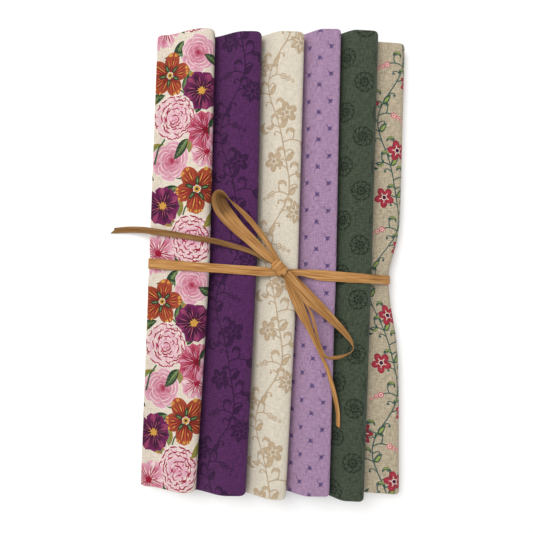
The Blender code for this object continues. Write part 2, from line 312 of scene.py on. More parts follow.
def read_grid(values, columns, strip, flat):
    """Values of the grid at flat points (u round the section, v along the strip)."""
    u = np.interp(flat[:, 0], columns, np.arange(len(columns)))
    span = strip.end_top - strip.end_low
    v = (flat[:, 1] - strip.end_low) / span * LENGTH_SAMPLES
    u0 = np.clip(u.astype(int), 0, len(columns) - 2)
    v0 = np.clip(v.astype(int), 0, LENGTH_SAMPLES - 1)
    fu = (u - u0)[:, None]
    fv = (v - v0)[:, None]
    low = values[v0, u0] * (1 - fu) + values[v0, u0 + 1] * fu
    high = values[v0 + 1, u0] * (1 - fu) + values[v0 + 1, u0 + 1] * fu
    return low * (1 - fv) + high * fv


def grid_normals(grid):
    across = np.gradient(grid, axis=1)
    lengthwise = np.gradient(grid, axis=0)
    normals = np.cross(across, lengthwise)
    return normals / np.linalg.norm(normals, axis=2, keepdims=True)


# Flat shapes of the prints. A shape is its outline and a paint, which gives a colour for a flat point.
def tone(red, green, blue):
    """A linear colour from its usual 0 to 255 values."""
    return np.array([(value / 255.0) ** 2.2 for value in (red, green, blue)])


def plain(colour):
    return lambda spots: np.repeat(colour[None, :], len(spots), axis=0)


def fade(centre, near, far, reach, start=0.0):
    """A paint that turns from near to far with the distance from centre."""
    middle = np.array(centre)

    def paint(spots):
        away = (np.linalg.norm(spots - middle, axis=1) - start) / (reach - start)
        share = np.clip(away, 0.0, 1.0)[:, None]
        return near * (1.0 - share) + far * share

    return paint


def ink(shapes, outline, colour):
    """Adds an outline filled with one colour."""
    shapes.append((outline, plain(colour)))


def spot_at(centre, reach, angle):
    """The point at a distance from the centre, along an angle."""
    return centre[0] + reach * cos(angle), centre[1] + reach * sin(angle)


def turned(points, angle, centre):
    c, s = cos(angle), sin(angle)
    return [(centre[0] + x * c - y * s, centre[1] + x * s + y * c) for x, y in points]


def around(count, turn=0.0):
    """Angles spread evenly round a centre."""
    return [turn + 2 * pi * number / count for number in range(count)]


def disc(centre, radius, sides=9, squash=1.0, angle=0.0):
    """A round outline, or an oval one where squash is under 1."""
    ring = [(radius * cos(way), radius * squash * sin(way)) for way in around(sides)]
    return turned(ring, angle, centre)


def petal(centre, angle, start, length, width, steps=5, blunt=0.8):
    """A petal's outline, from start to start + length away from the centre."""
    upper = []
    for step in range(steps + 1):
        share = step / steps
        half = width / 2 * sin(pi * share**blunt) ** 0.75 if 0 < step < steps else 0.0
        upper.append((start + length * share, half))
    lower = [(x, -half) for x, half in upper[1:-1]]
    return turned(upper + lower[::-1], angle, centre)


def notched_petal(centre, angle, start, length, width, teeth=3):
    """A petal with a ruffled outer edge."""
    points = [(start, -width * 0.16), (start + length * 0.55, -width * 0.46)]
    for tooth in range(teeth * 2 + 1):
        across = -width / 2 + width * tooth / (teeth * 2)
        crown = 1.0 - 0.5 * (across / (width * 0.75)) ** 2
        out = length * crown * (1.0 if tooth % 2 else 0.88)
        points.append((start + out, across))
    points += [(start + length * 0.55, width * 0.46), (start, width * 0.16)]
    return turned(points, angle, centre)


def stroke(points, widths):
    """A line with its own width at each point, as an outline."""
    left, right = [], []
    for place, (x, y) in enumerate(points):
        before = points[max(place - 1, 0)]
        after = points[min(place + 1, len(points) - 1)]
        dx, dy = after[0] - before[0], after[1] - before[1]
        size = math.hypot(dx, dy) or 1.0
        half = widths[place] / 2
        left.append((x - dy / size * half, y + dx / size * half))
        right.append((x + dy / size * half, y - dx / size * half))
    return left + right[::-1]


def leaf(centre, angle, length, width, bend=0.0, steps=5):
    """A pointed leaf that starts at centre, bent to one side."""
    upper, lower = [], []
    for step in range(steps + 1):
        share = step / steps
        middle = bend * length * sin(pi * share / 2) ** 2
        half = width / 2 * sin(pi * share**0.85)
        if step in (0, steps):
            upper.append((length * share, middle))
        else:
            upper.append((length * share, middle + half))
            lower.append((length * share, middle - half))
    return turned(upper + lower[::-1], angle, centre)


def curl(start, angle, size, hand, width):
    """A tendril that leaves start along angle and winds up into a small hook."""
    points, widths = [start], [width]
    x, y = start
    way = angle
    steps = 9
    for step in range(steps):
        share = step / steps
        way += hand * (0.12 + 0.85 * share * share)
        x, y = spot_at((x, y), size / 5.2 * (1.0 - 0.62 * share), way)
        points.append((x, y))
        widths.append(width * (1.0 - 0.35 * share))
    return stroke(points, widths), (x, y)


def clipped(outline, low, high):
    """The part of an outline inside the flat sheet."""
    for axis in (0, 1):
        for limit, keep in ((low[axis], 1), (high[axis], -1)):
            kept = []
            for place, here in enumerate(outline):
                before = outline[place - 1]
                inside = (here[axis] - limit) * keep >= 0
                was_inside = (before[axis] - limit) * keep >= 0
                if inside != was_inside:
                    share = (limit - before[axis]) / (here[axis] - before[axis])
                    kept.append(tuple(b + (h - b) * share for b, h in zip(before, here)))
                if inside:
                    kept.append(here)
            outline = kept
            if len(outline) < 3:
                return []
    return outline


def signed_area(outline):
    """The area inside an outline, above zero where the outline turns left."""
    return sum(a[0] * b[1] - b[0] * a[1] for a, b in zip(outline, outline[1:] + outline[:1])) / 2


def moved(shapes, du, dv):
    """Copies of the shapes at another place of the sheet, with their paints moved too."""
    offset = np.array((du, dv))
    return [
        ([(x + du, y + dv) for x, y in outline], lambda spots, paint=paint: paint(spots - offset))
        for outline, paint in shapes
    ]


def repeated(tile, width, height, drop, low, high):
    """The tile's shapes over the whole sheet, each column shifted along by drop."""
    shapes = []
    for column in range(math.floor(low[0] / width) - 1, math.ceil(high[0] / width) + 2):
        shift = drop * column % height
        for row in range(math.floor(low[1] / height) - 2, math.ceil(high[1] / height) + 2):
            shapes += moved(tile, column * width, row * height + shift)
    return shapes


# The flower print.
OFF_WHITE = tone(208, 196, 180)
CRIMSON = tone(140, 22, 48)
DEEP_ROSE = tone(154, 48, 78)
ROSE = tone(180, 88, 112)
PALE_PINK = tone(206, 156, 172)
WHITE = tone(218, 204, 196)
ORANGE = tone(160, 74, 48)
RUST = tone(104, 26, 26)
GOLD = tone(194, 142, 66)
PURPLE = tone(48, 22, 46)
MAGENTA = tone(112, 34, 84)
LEAF_DARK = tone(34, 54, 38)
LEAF_LIGHT = tone(104, 122, 78)
OLIVE = tone(120, 108, 44)
OCHRE = tone(146, 108, 58)


def wavy_disc(centre, radius, waves, depth, dice, sides=40):
    """A round outline with an uneven, scalloped edge."""
    ring = []
    for way in around(sides):
        reach = radius * (1.0 + depth * sin(waves * way + dice.random() * 0.8))
        ring.append(spot_at(centre, reach, way))
    return ring


def wavering_arc(centre, radius, wobble, first, last, width, dice, steps=5):
    """A thin wavering arc round the centre, thickest at its middle."""
    points, widths = [], []
    for step in range(steps + 1):
        way = first + (last - first) * step / steps
        reach = radius + wobble * dice.uniform(-1.0, 1.0)
        points.append(spot_at(centre, reach, way))
        widths.append(width * (0.3 + sin(pi * step / steps)))
    return stroke(points, widths)


def ruffled_flower(centre, size, turn, dice):
    """A white flower of many ruffles, each edged with wavering crimson lines."""
    shapes = [(wavy_disc(centre, size * 0.98, 13, 0.04, dice), plain(WHITE * 0.9))]
    for reach in (0.95, 0.77, 0.59, 0.41, 0.22):
        middle = tuple(value + size * 0.07 * dice.uniform(-1, 1) for value in centre)
        ruffle = wavy_disc(middle, size * reach, 9, 0.06, dice)
        shapes.append((ruffle, fade(middle, PALE_PINK, WHITE, size * reach * 1.02, size * reach * 0.70)))
        folds = int(4 + 6 * reach)
        for number in range(folds):
            way = turn + 2 * pi * (number + dice.uniform(-0.3, 0.3)) / folds
            crease = petal(middle, way, size * (reach - 0.19), size * dice.uniform(0.10, 0.2), size * 0.06, 3)
            ink(shapes, crease, ROSE if dice.random() < 0.5 else PALE_PINK)
        arcs = max(3, int(2 * pi * reach * size / 5.6))
        for number in range(arcs):
            way = turn + 2 * pi * (number + dice.uniform(-0.2, 0.2)) / arcs
            after = way + 2 * pi / arcs * dice.uniform(0.75, 1.15)
            edge = wavering_arc(middle, size * reach * 0.94, size * 0.045, way, after, size * 0.05, dice)
            ink(shapes, edge, CRIMSON if dice.random() < 0.55 else DEEP_ROSE)
    return shapes


def streaked_petal(centre, angle, start, length, width, paints, dice, streaks=9):
    """A broad petal whose streaks fan out from the heart: paints are near, far, streak and light."""
    near, far, streak, light = paints
    outline = notched_petal(centre, angle, start, length, width, dice.choice((2, 3)))
    shapes = [(outline, fade(centre, near, far, start + length, start))]
    shade = petal(centre, angle - 0.24 * width / length, start + length * 0.1, length * 0.8, width * 0.30)
    shapes.append((shade, fade(centre, near, near * 0.6 + far * 0.4, start + length, start)))
    glow = petal(centre, angle + 0.20 * width / length, start + length * 0.42, length * 0.52, width * 0.30)
    shapes.append((glow, fade(centre, far, light, start + length, start + length * 0.4)))
    for number in range(streaks):
        side = (number + 0.5) / streaks - 0.5 + dice.uniform(-0.04, 0.04)
        spread = side * width / (start + length) * 0.92
        reach = length * (0.86 - 1.1 * side * side) * dice.uniform(0.55, 1.0)
        first = start + length * (0.04 if number % 2 else 0.22) * dice.uniform(0.4, 1.3)
        line = petal(centre, angle + spread, first, reach, width * dice.uniform(0.030, 0.06), 3)
        ink(shapes, line, streak if number % 3 else light)
    return shapes


def sunny_flower(centre, size, turn, dice):
    """Five cupped petals, rust at the heart and golden at the tips, with dark sepals between."""
    shapes = []
    petals = 5
    for way in around(petals, turn):
        angle = way + dice.uniform(-0.06, 0.06)
        body = disc(spot_at(centre, size * 0.57, angle), size * 0.43, 16, 0.86, angle)
        shapes.append((body, fade(centre, RUST, ORANGE, size * 1.02, size * 0.1)))
        for streak in range(11):
            side = (streak - 5) / 5.0
            reach = size * (0.78 - 0.34 * side * side) * dice.uniform(0.75, 1.0)
            way = angle + side * 0.52
            first = size * dice.uniform(0.22, 0.5)
            line = petal(centre, way, first, reach - first + size * 0.12, size * dice.uniform(0.025, 0.05), 3)
            ink(shapes, line, (GOLD, RUST, ORANGE * 1.35, CRIMSON * 0.8)[streak % 4])
        for streak in range(6):
            way = angle + dice.uniform(-0.33, 0.33)
            tip = petal(centre, way, size * 0.80, size * 0.17, size * 0.06, 3)
            ink(shapes, tip, GOLD * dice.uniform(0.9, 1.2))
    for number in range(petals):
        angle = turn + 2 * pi * (number + 0.5) / petals
        ink(shapes, petal(centre, angle, size * 0.14, size * 0.40, size * 0.17, 5), LEAF_DARK)
        ink(shapes, petal(centre, angle, size * 0.20, size * 0.26, size * 0.07, 3), LEAF_LIGHT)
    ink(shapes, disc(centre, size * 0.13, 9), GOLD)
    ink(shapes, disc(centre, size * 0.06, 7), LEAF_DARK)
    return shapes


def broad_flower(centre, size, turn, dice, paints, eye, petals, narrow):
    """Broad streaked petals round an eye, with thin stamens that end in dots."""
    shapes = []
    for way in around(petals, turn):
        angle = way + dice.uniform(-0.08, 0.08)
        long = size * dice.uniform(0.84, 0.95)
        wide = size * 1.02 * narrow * dice.uniform(0.92, 1.06)
        shapes += streaked_petal(centre, angle, size * 0.06, long, wide, paints, dice, 10)
    ink(shapes, wavy_disc(centre, size * 0.16, 5, 0.2, dice, 14), eye)
    for angle in around(11, turn):
        reach = size * dice.uniform(0.20, 0.34)
        spot = spot_at(centre, reach, angle)
        ink(shapes, petal(centre, angle, size * 0.08, reach - size * 0.08, size * 0.025, 3), eye)
        ink(shapes, disc(spot, size * 0.03, 5), CRIMSON * 0.6)
    return shapes


ROSE_RINGS = ((0.56, 6, 0.46), (0.42, 5, 0.40), (0.30, 5, 0.32), (0.19, 4, 0.25), (0.10, 3, 0.17))


def cupped_flower(centre, size, turn, dice):
    """A full pink flower: cupped petals that overlap round a crimson heart."""
    shapes = [(wavy_disc(centre, size * 0.86, 6, 0.05, dice), plain(ROSE))]
    for ring, (reach, count, radius) in enumerate(ROSE_RINGS):
        for number in range(count):
            angle = turn + ring * 1.1 + 2 * pi * (number + dice.uniform(-0.12, 0.12)) / count
            spot = spot_at(centre, size * reach, angle)
            lean = angle + dice.uniform(0.2, 0.5)
            heart = spot_at(spot, -size * radius * 0.7, lean)
            outline = turned(wavy_disc((0.0, 0.0), size * radius, 4, 0.07, dice, 18), lean, spot)
            deep = DEEP_ROSE * (1.0 - 0.15 * ring) + CRIMSON * (0.15 * ring)
            pale = PALE_PINK * (1.0 - 0.17 * ring) + ROSE * (0.17 * ring)
            shapes.append((outline, fade(heart, deep, pale, size * radius * 1.55, size * radius * 0.25)))
            first = int(18 * ((angle - lean) % (2 * pi)) / (2 * pi))
            rim = [outline[(first + step - 4) % 18] for step in range(9)]
            lip = stroke(rim, [size * 0.04 * sin(pi * (step + 0.6) / 9.2) for step in range(9)])
            ink(shapes, lip, WHITE if ring < 3 else PALE_PINK)
            for _ in range(2):
                way = angle + dice.uniform(-0.5, 0.5)
                line = petal(spot, way, -size * radius * 0.3, size * radius * 0.9, size * 0.035, 3)
                ink(shapes, line, deep * 0.6 + pale * 0.4)
    return shapes


def painted_leaf(centre, angle, length, width, bend, dark, light):
    """A leaf with a lit side, a midrib and four pairs of veins."""
    shapes = [(leaf(centre, angle, length, width, bend, 8), fade(centre, dark, dark * 1.4, length))]
    lit = leaf(centre, angle + 0.09, length * 0.90, width * 0.42, bend, 6)
    shapes.append((lit, fade(centre, light, dark, length)))
    for rib in range(4):
        share = 0.15 + rib * 0.18
        foot = spot_at(centre, length * share, angle + bend * share)
        for side in (-0.6, 0.6):
            ink(shapes, petal(foot, angle + side, 0.0, width * 0.42, 0.22, 3), light * 1.15)
    ink(shapes, leaf(centre, angle, length * 0.96, width * 0.08, bend), light * 1.4)
    return shapes


FLOWER_TILE = (43.0, 142.0)
BLOOM_SCALE = 1.07
# Each bloom is its kind, place u and v, size and turn.
BLOOMS = (
    ("blossom", -5.0, 69.0, 10.5, 0.3),
    ("cupped", -29.0, 64.0, 12.0, 0.4),
    ("sunny", -10.5, 46.0, 14.5, 0.9),
    ("purple", -34.0, 36.0, 12.5, 0.2),
    ("ruffled", -13.5, 15.5, 14.8, 0.1),
    ("blossom", -36.0, 6.0, 12.5, 1.1),
    ("cupped", -12.0, -13.0, 11.0, 0.5),
    ("sunny", -32.0, -24.0, 13.5, 1.4),
    ("purple", -9.0, -36.0, 12.5, 0.9),
    ("ruffled", -27.0, -51.5, 13.8, 0.8),
    ("rosy", -6.0, -60.0, 12.0, 0.2),
)
# Each leaf is its place u and v, angle, length, width and bend.
LEAVES = (
    (-20.0, 52.0, 2.3, 17.0, 7.0, 0.15),
    (-24.0, 48.0, 3.6, 14.0, 6.0, -0.12),
    (-22.0, 29.0, 1.5, 15.0, 6.2, 0.1),
    (-3.0, 30.0, 0.2, 12.0, 6.0, 0.2),
    (-24.0, 24.0, 2.7, 15.0, 6.6, 0.1),
    (-28.0, 12.0, 5.4, 13.0, 5.6, -0.2),
    (-22.0, -4.0, 3.9, 15.0, 6.8, 0.15),
    (-2.0, -2.0, 0.4, 12.0, 6.4, 0.1),
    (-23.0, -12.0, 3.0, 13.0, 5.6, 0.2),
    (-20.0, -27.0, 0.6, 12.0, 5.2, 0.1),
    (-21.0, -36.0, 1.5, 13.0, 5.0, -0.1),
    (-14.0, -50.0, 0.9, 13.0, 5.6, 0.1),
    (-40.0, -38.0, 3.9, 14.0, 6.0, 0.1),
    (-17.0, -65.0, 3.9, 16.0, 6.8, 0.1),
    (-17.0, 68.0, 1.2, 12.0, 5.4, 0.1),
    (-40.0, 52.0, 2.6, 12.0, 6.0, 0.1),
    (-42.0, 20.0, 4.2, 13.0, 6.0, 0.1),
)
STALKS = (
    ((-10.0, 46.0), (-18.0, 34.0), (-21.0, 24.0), (-20.0, 8.0)),
    ((-34.0, 36.0), (-27.0, 26.0), (-25.0, 14.0), (-27.0, 4.0)),
    ((-32.0, -24.0), (-24.0, -34.0), (-19.0, -38.0), (-16.0, -50.0)),
    ((-9.0, -36.0), (-16.0, -28.0), (-22.0, -22.0), (-24.0, -8.0)),
    ((-27.0, -51.5), (-34.0, -64.0), (-38.0, -70.0), (-40.0, -80.0)),
)
PINK_PAINTS = (ROSE, PALE_PINK, DEEP_ROSE, WHITE)
ROSY_PAINTS = (CRIMSON, ROSE, DEEP_ROSE * 0.8, PALE_PINK)
PURPLE_PAINTS = (PURPLE * 0.6, MAGENTA, PURPLE, ROSE * 0.55 + MAGENTA * 0.3)
# The paints, eye, number of petals and narrowness of each broad kind.
BROAD_KINDS = {
    "blossom": (PINK_PAINTS, CRIMSON, 5, 0.86),
    "purple": (PURPLE_PAINTS, GOLD, 5, 1.0),
    "rosy": (ROSY_PAINTS, CRIMSON * 0.6, 7, 0.72),
}
FULL_KINDS = {"ruffled": ruffled_flower, "cupped": cupped_flower, "sunny": sunny_flower}


def flower_print(low, high):
    dice = random.Random(11)
    tile = []
    for stalk in STALKS:
        ink(tile, stroke(list(stalk), [0.9, 1.1, 1.1, 1.2]), LEAF_DARK * 1.6)
        ink(tile, stroke([(u + 0.3, v) for u, v in stalk], [0.2, 0.3, 0.3, 0.3]), LEAF_LIGHT)
    for number, (u, v, *form) in enumerate(LEAVES):
        dark = (LEAF_DARK, LEAF_DARK, OLIVE, LEAF_DARK, OCHRE)[number % 5]
        tile += painted_leaf((u, v), *form, dark, LEAF_LIGHT)
    for kind, u, v, size, turn in BLOOMS:
        size *= BLOOM_SCALE
        if kind in BROAD_KINDS:
            tile += broad_flower((u, v), size, turn, dice, *BROAD_KINDS[kind])
        else:
            tile += FULL_KINDS[kind]((u, v), size, turn, dice)
    return repeated(tile, *FLOWER_TILE, FLOWER_TILE[1] / 2, low, high)


# The vine print, in three colourings.
VINE_TILE = (40.0, 104.0)
STEM_WIDTH = 0.8
BRANCH_WIDTH = 0.75
BRANCH_STEPS = 6
STAR_SIZE = 7.4
ROUND_SIZE = 6.8
BUD_SIZE = 6.6
BERRY_SIZE = 1.9
BERRY_APART = 3.3
Colours = namedtuple("Colours", "stem leaf leaf_edge petal petal_edge eye berry gap")


def star_flower(centre, size, turn, colours, petals=7):
    """Pointed petals with a slit near a ringed eye, and a short ray between each two."""
    shapes = []
    step = 2 * pi / petals
    for number in range(petals):
        angle = turn + step * number
        ink(shapes, petal(centre, angle + step / 2, size * 0.55, size * 0.36, size * 0.09, 3), colours.stem)
        wide = size * 3.1 / petals
        ink(shapes, petal(centre, angle, size * 0.16, size * 0.84, wide, 6, 0.9), colours.petal_edge)
        inner = petal(centre, angle, size * 0.40, size * 0.48, wide * 0.62, 5)
        ink(shapes, inner, colours.petal)
        ink(shapes, petal(centre, angle, size * 0.22, size * 0.42, size * 0.13, 3), colours.gap)
    ink(shapes, disc(centre, size * 0.27, 12), colours.gap)
    ink(shapes, disc(centre, size * 0.20, 11), colours.eye)
    ink(shapes, disc(centre, size * 0.07, 6), colours.petal)
    return shapes


def round_flower(centre, size, turn, colours):
    """Five blunt petals round a ringed eye."""
    shapes = []
    for angle in around(5, turn):
        spot = spot_at(centre, size * 0.58, angle)
        ink(shapes, disc(spot, size * 0.40, 11, 0.86, angle), colours.petal_edge)
        ink(shapes, disc(spot, size * 0.27, 9, 0.86, angle), colours.petal)
        ink(shapes, petal(centre, angle, size * 0.2, size * 0.34, size * 0.09, 3), colours.gap)
    ink(shapes, disc(centre, size * 0.26, 11), colours.gap)
    ink(shapes, disc(centre, size * 0.19, 10), colours.eye)
    return shapes


Moon = namedtuple("Moon", "spread steps outer inner height back")
CRESCENT = Moon(1.9, 7, 1.0, 0.62, 0.80, 0.30)
CRESCENT_FILL = Moon(1.1, 5, 0.80, 0.56, 0.70, 0.10)


def crescent(centre, angle, size, hand, moon=CRESCENT):
    """A fat curl like a new moon, between an outer and an inner arc."""
    points = []
    for step in range(moon.steps + 1):
        way = -moon.spread + 2 * moon.spread * step / moon.steps
        points.append((size * moon.outer * cos(way), size * moon.outer * sin(way) * hand))
    for step in range(1, moon.steps):
        way = moon.spread - 2 * moon.spread * step / moon.steps
        inner = size * (moon.inner * cos(way) - moon.back)
        points.append((inner, size * moon.height * sin(way) * hand))
    return turned(points, angle, centre)


def crescent_leaf(centre, angle, size, hand, colours):
    middle = spot_at(centre, size * 0.10, angle)
    fill = crescent(middle, angle, size, hand, CRESCENT_FILL)
    outer = crescent(centre, angle, size, hand)
    return [(outer, plain(colours.leaf_edge)), (fill, plain(colours.leaf))]


def outlined_leaf(centre, angle, length, width, bend, colours):
    outer = leaf(centre, angle, length, width, bend, 6)
    start = spot_at(centre, length * 0.14, angle)
    inner = leaf(start, angle, length * 0.70, width * 0.52, bend)
    return [(outer, plain(colours.leaf_edge)), (inner, plain(colours.leaf))]


def bud(centre, angle, size, colours):
    """A closed bud of three petals on a small cup."""
    shapes = []
    for lean in (-0.5, 0.5, 0.0):
        ink(shapes, petal(centre, angle + lean, 0.0, size, size * 0.52), colours.petal_edge)
        ink(shapes, petal(centre, angle + lean, size * 0.2, size * 0.6, size * 0.26, 4), colours.petal)
    for lean in (-1.0, 1.0):
        ink(shapes, petal(centre, angle + lean, -size * 0.1, size * 0.55, size * 0.2, 4), colours.leaf_edge)
    return shapes


def stem_place(v):
    """The main stem's way across the tile."""
    turn = 2 * pi * v / VINE_TILE[1]
    return -19.0 + 7.5 * sin(turn) + 1.8 * sin(2 * turn + 0.6)


VineSide = namedtuple("VineSide", "v side angle length end")
VINE_SIDES = (
    VineSide(3.0, 1, 0.9, 10.0, "star"),
    VineSide(13.0, -1, 0.8, 11.0, "berries"),
    VineSide(24.0, 1, 0.7, 11.0, "curl"),
    VineSide(34.0, -1, 0.9, 8.5, "round"),
    VineSide(45.0, 1, 0.8, 12.0, "bud"),
    VineSide(54.0, -1, 0.8, 11.0, "curl"),
    VineSide(64.0, 1, 0.9, 8.5, "round"),
    VineSide(75.0, -1, 0.8, 12.0, "bud"),
    VineSide(85.0, 1, 0.8, 11.0, "berries"),
    VineSide(93.0, -1, 0.9, 10.0, "star"),
)


def vine_print(low, high, colours, shift):
    """The vine's repeat, moved across the cloth by shift."""
    tile = []
    height = VINE_TILE[1]
    steps = 40
    line = [(stem_place(height * step / steps), height * step / steps) for step in range(steps + 1)]
    ink(tile, stroke(line, [STEM_WIDTH] * len(line)), colours.stem)
    for number, side in enumerate(VINE_SIDES):
        hand = side.side
        start = (stem_place(side.v), side.v)
        way = pi / 2 - hand * side.angle
        branch, tip = [start], start
        for _ in range(BRANCH_STEPS):
            way -= hand * 0.20
            tip = spot_at(tip, side.length / BRANCH_STEPS, way)
            branch.append(tip)
        ink(tile, stroke(branch, [BRANCH_WIDTH] * len(branch)), colours.stem)
        hook, ball = curl(branch[3], way + hand * 1.4, 5.6, hand, 0.85)
        ink(tile, hook, colours.stem)
        tile += crescent_leaf(ball, way + hand * 2.2, 2.9, hand, colours)
        if number % 2:
            tile += outlined_leaf(start, pi / 2 + hand * 0.9, 7.6, 3.8, -0.15 * hand, colours)
        foot = (stem_place(side.v + 5.0), side.v + 5.0)
        hook, ball = curl(foot, pi / 2 + hand * 0.7, 5.4, hand, 0.8)
        ink(tile, hook, colours.stem)
        ink(tile, disc(ball, 0.85, 7), colours.stem)
        if side.end == "star":
            tile += star_flower(tip, STAR_SIZE, number * 0.4, colours)
        elif side.end == "round":
            tile += round_flower(tip, ROUND_SIZE, number * 0.3, colours)
        elif side.end == "bud":
            tile += bud(tip, way, BUD_SIZE, colours)
        elif side.end == "berries":
            for spot in range(3):
                place = spot_at(tip, spot * BERRY_APART, way)
                size = BERRY_SIZE - 0.35 * spot
                ink(tile, disc(place, size, 11), colours.berry)
                ink(tile, disc(place, size * 0.66, 9), colours.gap)
                ink(tile, disc(place, size * 0.38, 7), colours.berry)
        else:
            tile += crescent_leaf(tip, way, 3.9, hand, colours)
            tile += crescent_leaf(branch[4], way - hand * 1.6, 2.8, -hand, colours)
    return repeated(moved(tile, *shift), *VINE_TILE, VINE_TILE[1] / 2, low, high)


# The two small repeats, which follow the photo.
SPRIG_FIRST = -7.6
SPRIG_COLUMN = 6.9
SPRIG_PITCH = 16.75
SPRIG_TOP = 136.0
SPRIG_DROP = 7.5
SPRIG_TILT = -0.3
SPRIG_COLOUR = tone(84, 66, 108)


def columns_and_rows(low, high, first, across, pitch):
    """The numbers of the columns and rows that cover the sheet, counted to the left and down."""
    start = math.floor((first - high[0]) / across)
    end = math.ceil((first - low[0]) / across)
    rows = range(-2, int((high[1] - low[1]) / pitch) + 3)
    return [(column, row) for column in range(start, end + 1) for row in rows]


def sprig(head, lean, paint):
    """A fan of small petals on a bent stem: the stem comes from above where lean is 1, else from below."""
    foot = (head[0] - 1.7, head[1] + 2.1 * lean)
    bend = (head[0] - 1.2, head[1] + 0.9 * lean)
    shapes = [(stroke([foot, bend, head], [0.26, 0.34, 0.42]), paint)]
    shapes.append((petal(foot, 1.9 * lean, -0.2, 1.1, 0.42, 3), paint))
    for number in range(5):
        angle = -0.75 * lean + (number - 2) * 0.58
        length = 1.9 if number % 2 == 0 else 1.5
        shapes.append((petal(head, angle, 0.5, length, 0.66, 4), paint))
    shapes.append((disc(head, 0.8, 9), paint))
    return shapes


def sprig_print(low, high):
    """Small violet sprigs in staggered columns, leaning to and fro."""
    shapes = []
    paint = plain(SPRIG_COLOUR)
    for column, row in columns_and_rows(low, high, SPRIG_FIRST, SPRIG_COLUMN, SPRIG_PITCH):
        top = SPRIG_TOP - SPRIG_TILT * column - (SPRIG_DROP - SPRIG_TILT) * (column % 2)
        head = (SPRIG_FIRST - column * SPRIG_COLUMN, top - row * SPRIG_PITCH)
        shapes += sprig(head, -1 if column % 2 else 1, paint)
    return shapes


ROSETTE_FIRST = -11.0
ROSETTE_COLUMN = 11.75
ROSETTE_PITCH = 33.3
ROSETTE_TOP = 114.8
ROSETTE_DROP = 15.0
ROSETTE_COLOUR = tone(35, 44, 34)


def rosette(centre, paint, soft):
    """A loose round cluster of petals, curls and dots."""
    shapes = []
    for angle in around(7):
        shapes.append((petal(centre, angle, 1.2, 2.3, 1.9, 4), paint))
        shapes.append((petal(centre, angle + 0.45, 2.9, 1.5, 1.3, 3), soft))
    for angle in around(10):
        spot = spot_at(centre, 4.8, angle)
        shapes.append((crescent(spot, angle + 0.5, 1.5, 1), paint))
        shapes.append((disc(spot_at(centre, 6.1, angle + 0.3), 0.62, 6), soft))
    shapes.append((disc(centre, 0.95, 8), paint))
    return shapes


def rosette_print(low, high):
    """Round rosettes, each column about half a pitch from the next."""
    shapes = []
    paint = plain(ROSETTE_COLOUR)
    soft = plain(ROSETTE_COLOUR * 0.6 + GREEN_GROUND * 0.4)
    for column, row in columns_and_rows(low, high, ROSETTE_FIRST, ROSETTE_COLUMN, ROSETTE_PITCH):
        v = ROSETTE_TOP + ROSETTE_DROP * (column % 2) - row * ROSETTE_PITCH
        shapes += rosette((ROSETTE_FIRST - column * ROSETTE_COLUMN, v), paint, soft)
    return shapes


PLUM_GROUND = tone(77, 37, 81)
CREAM_GROUND = tone(204, 195, 178)
LILAC_GROUND = tone(154, 125, 154)
GREEN_GROUND = tone(63, 72, 58)
LINEN_GROUND = tone(174, 161, 138)
PLUM_INK = tone(51, 20, 57)
TAN_INK = tone(172, 152, 126)


def tonal(ink_colour, leaf_share, petal_share, eye_share, ground):
    """A vine in shades of one colour."""
    leaf_fill = ink_colour * leaf_share
    petal_fill = ink_colour * petal_share
    eye = ink_colour * eye_share
    return Colours(ink_colour, leaf_fill, ink_colour, petal_fill, ink_colour, eye, ink_colour, ground)


PLUM_COLOURS = tonal(PLUM_INK, 1.2, 1.15, 1.0, PLUM_GROUND)
CREAM_COLOURS = tonal(TAN_INK, 1.14, 1.06, 0.92, CREAM_GROUND)
LINEN_COLOURS = Colours(
    tone(66, 88, 84),
    tone(136, 150, 84),
    tone(52, 78, 68),
    tone(158, 54, 68),
    tone(142, 42, 58),
    tone(78, 22, 62),
    tone(188, 88, 104),
    tone(214, 200, 182),
)
VINES = {
    "plum": (PLUM_COLOURS, (0.0, 0.0)),
    "cream": (CREAM_COLOURS, (3.0, 31.0)),
    "linen": (LINEN_COLOURS, (8.0, 12.0)),
}
GROUNDS = {
    "floral": OFF_WHITE,
    "plum": PLUM_GROUND,
    "cream": CREAM_GROUND,
    "lilac": LILAC_GROUND,
    "green": GREEN_GROUND,
    "linen": LINEN_GROUND,
}


def print_of(name, low, high):
    if name == "floral":
        return flower_print(low, high)
    if name == "lilac":
        return sprig_print(low, high)
    if name == "green":
        return rosette_print(low, high)
    return vine_print(low, high, *VINES[name])


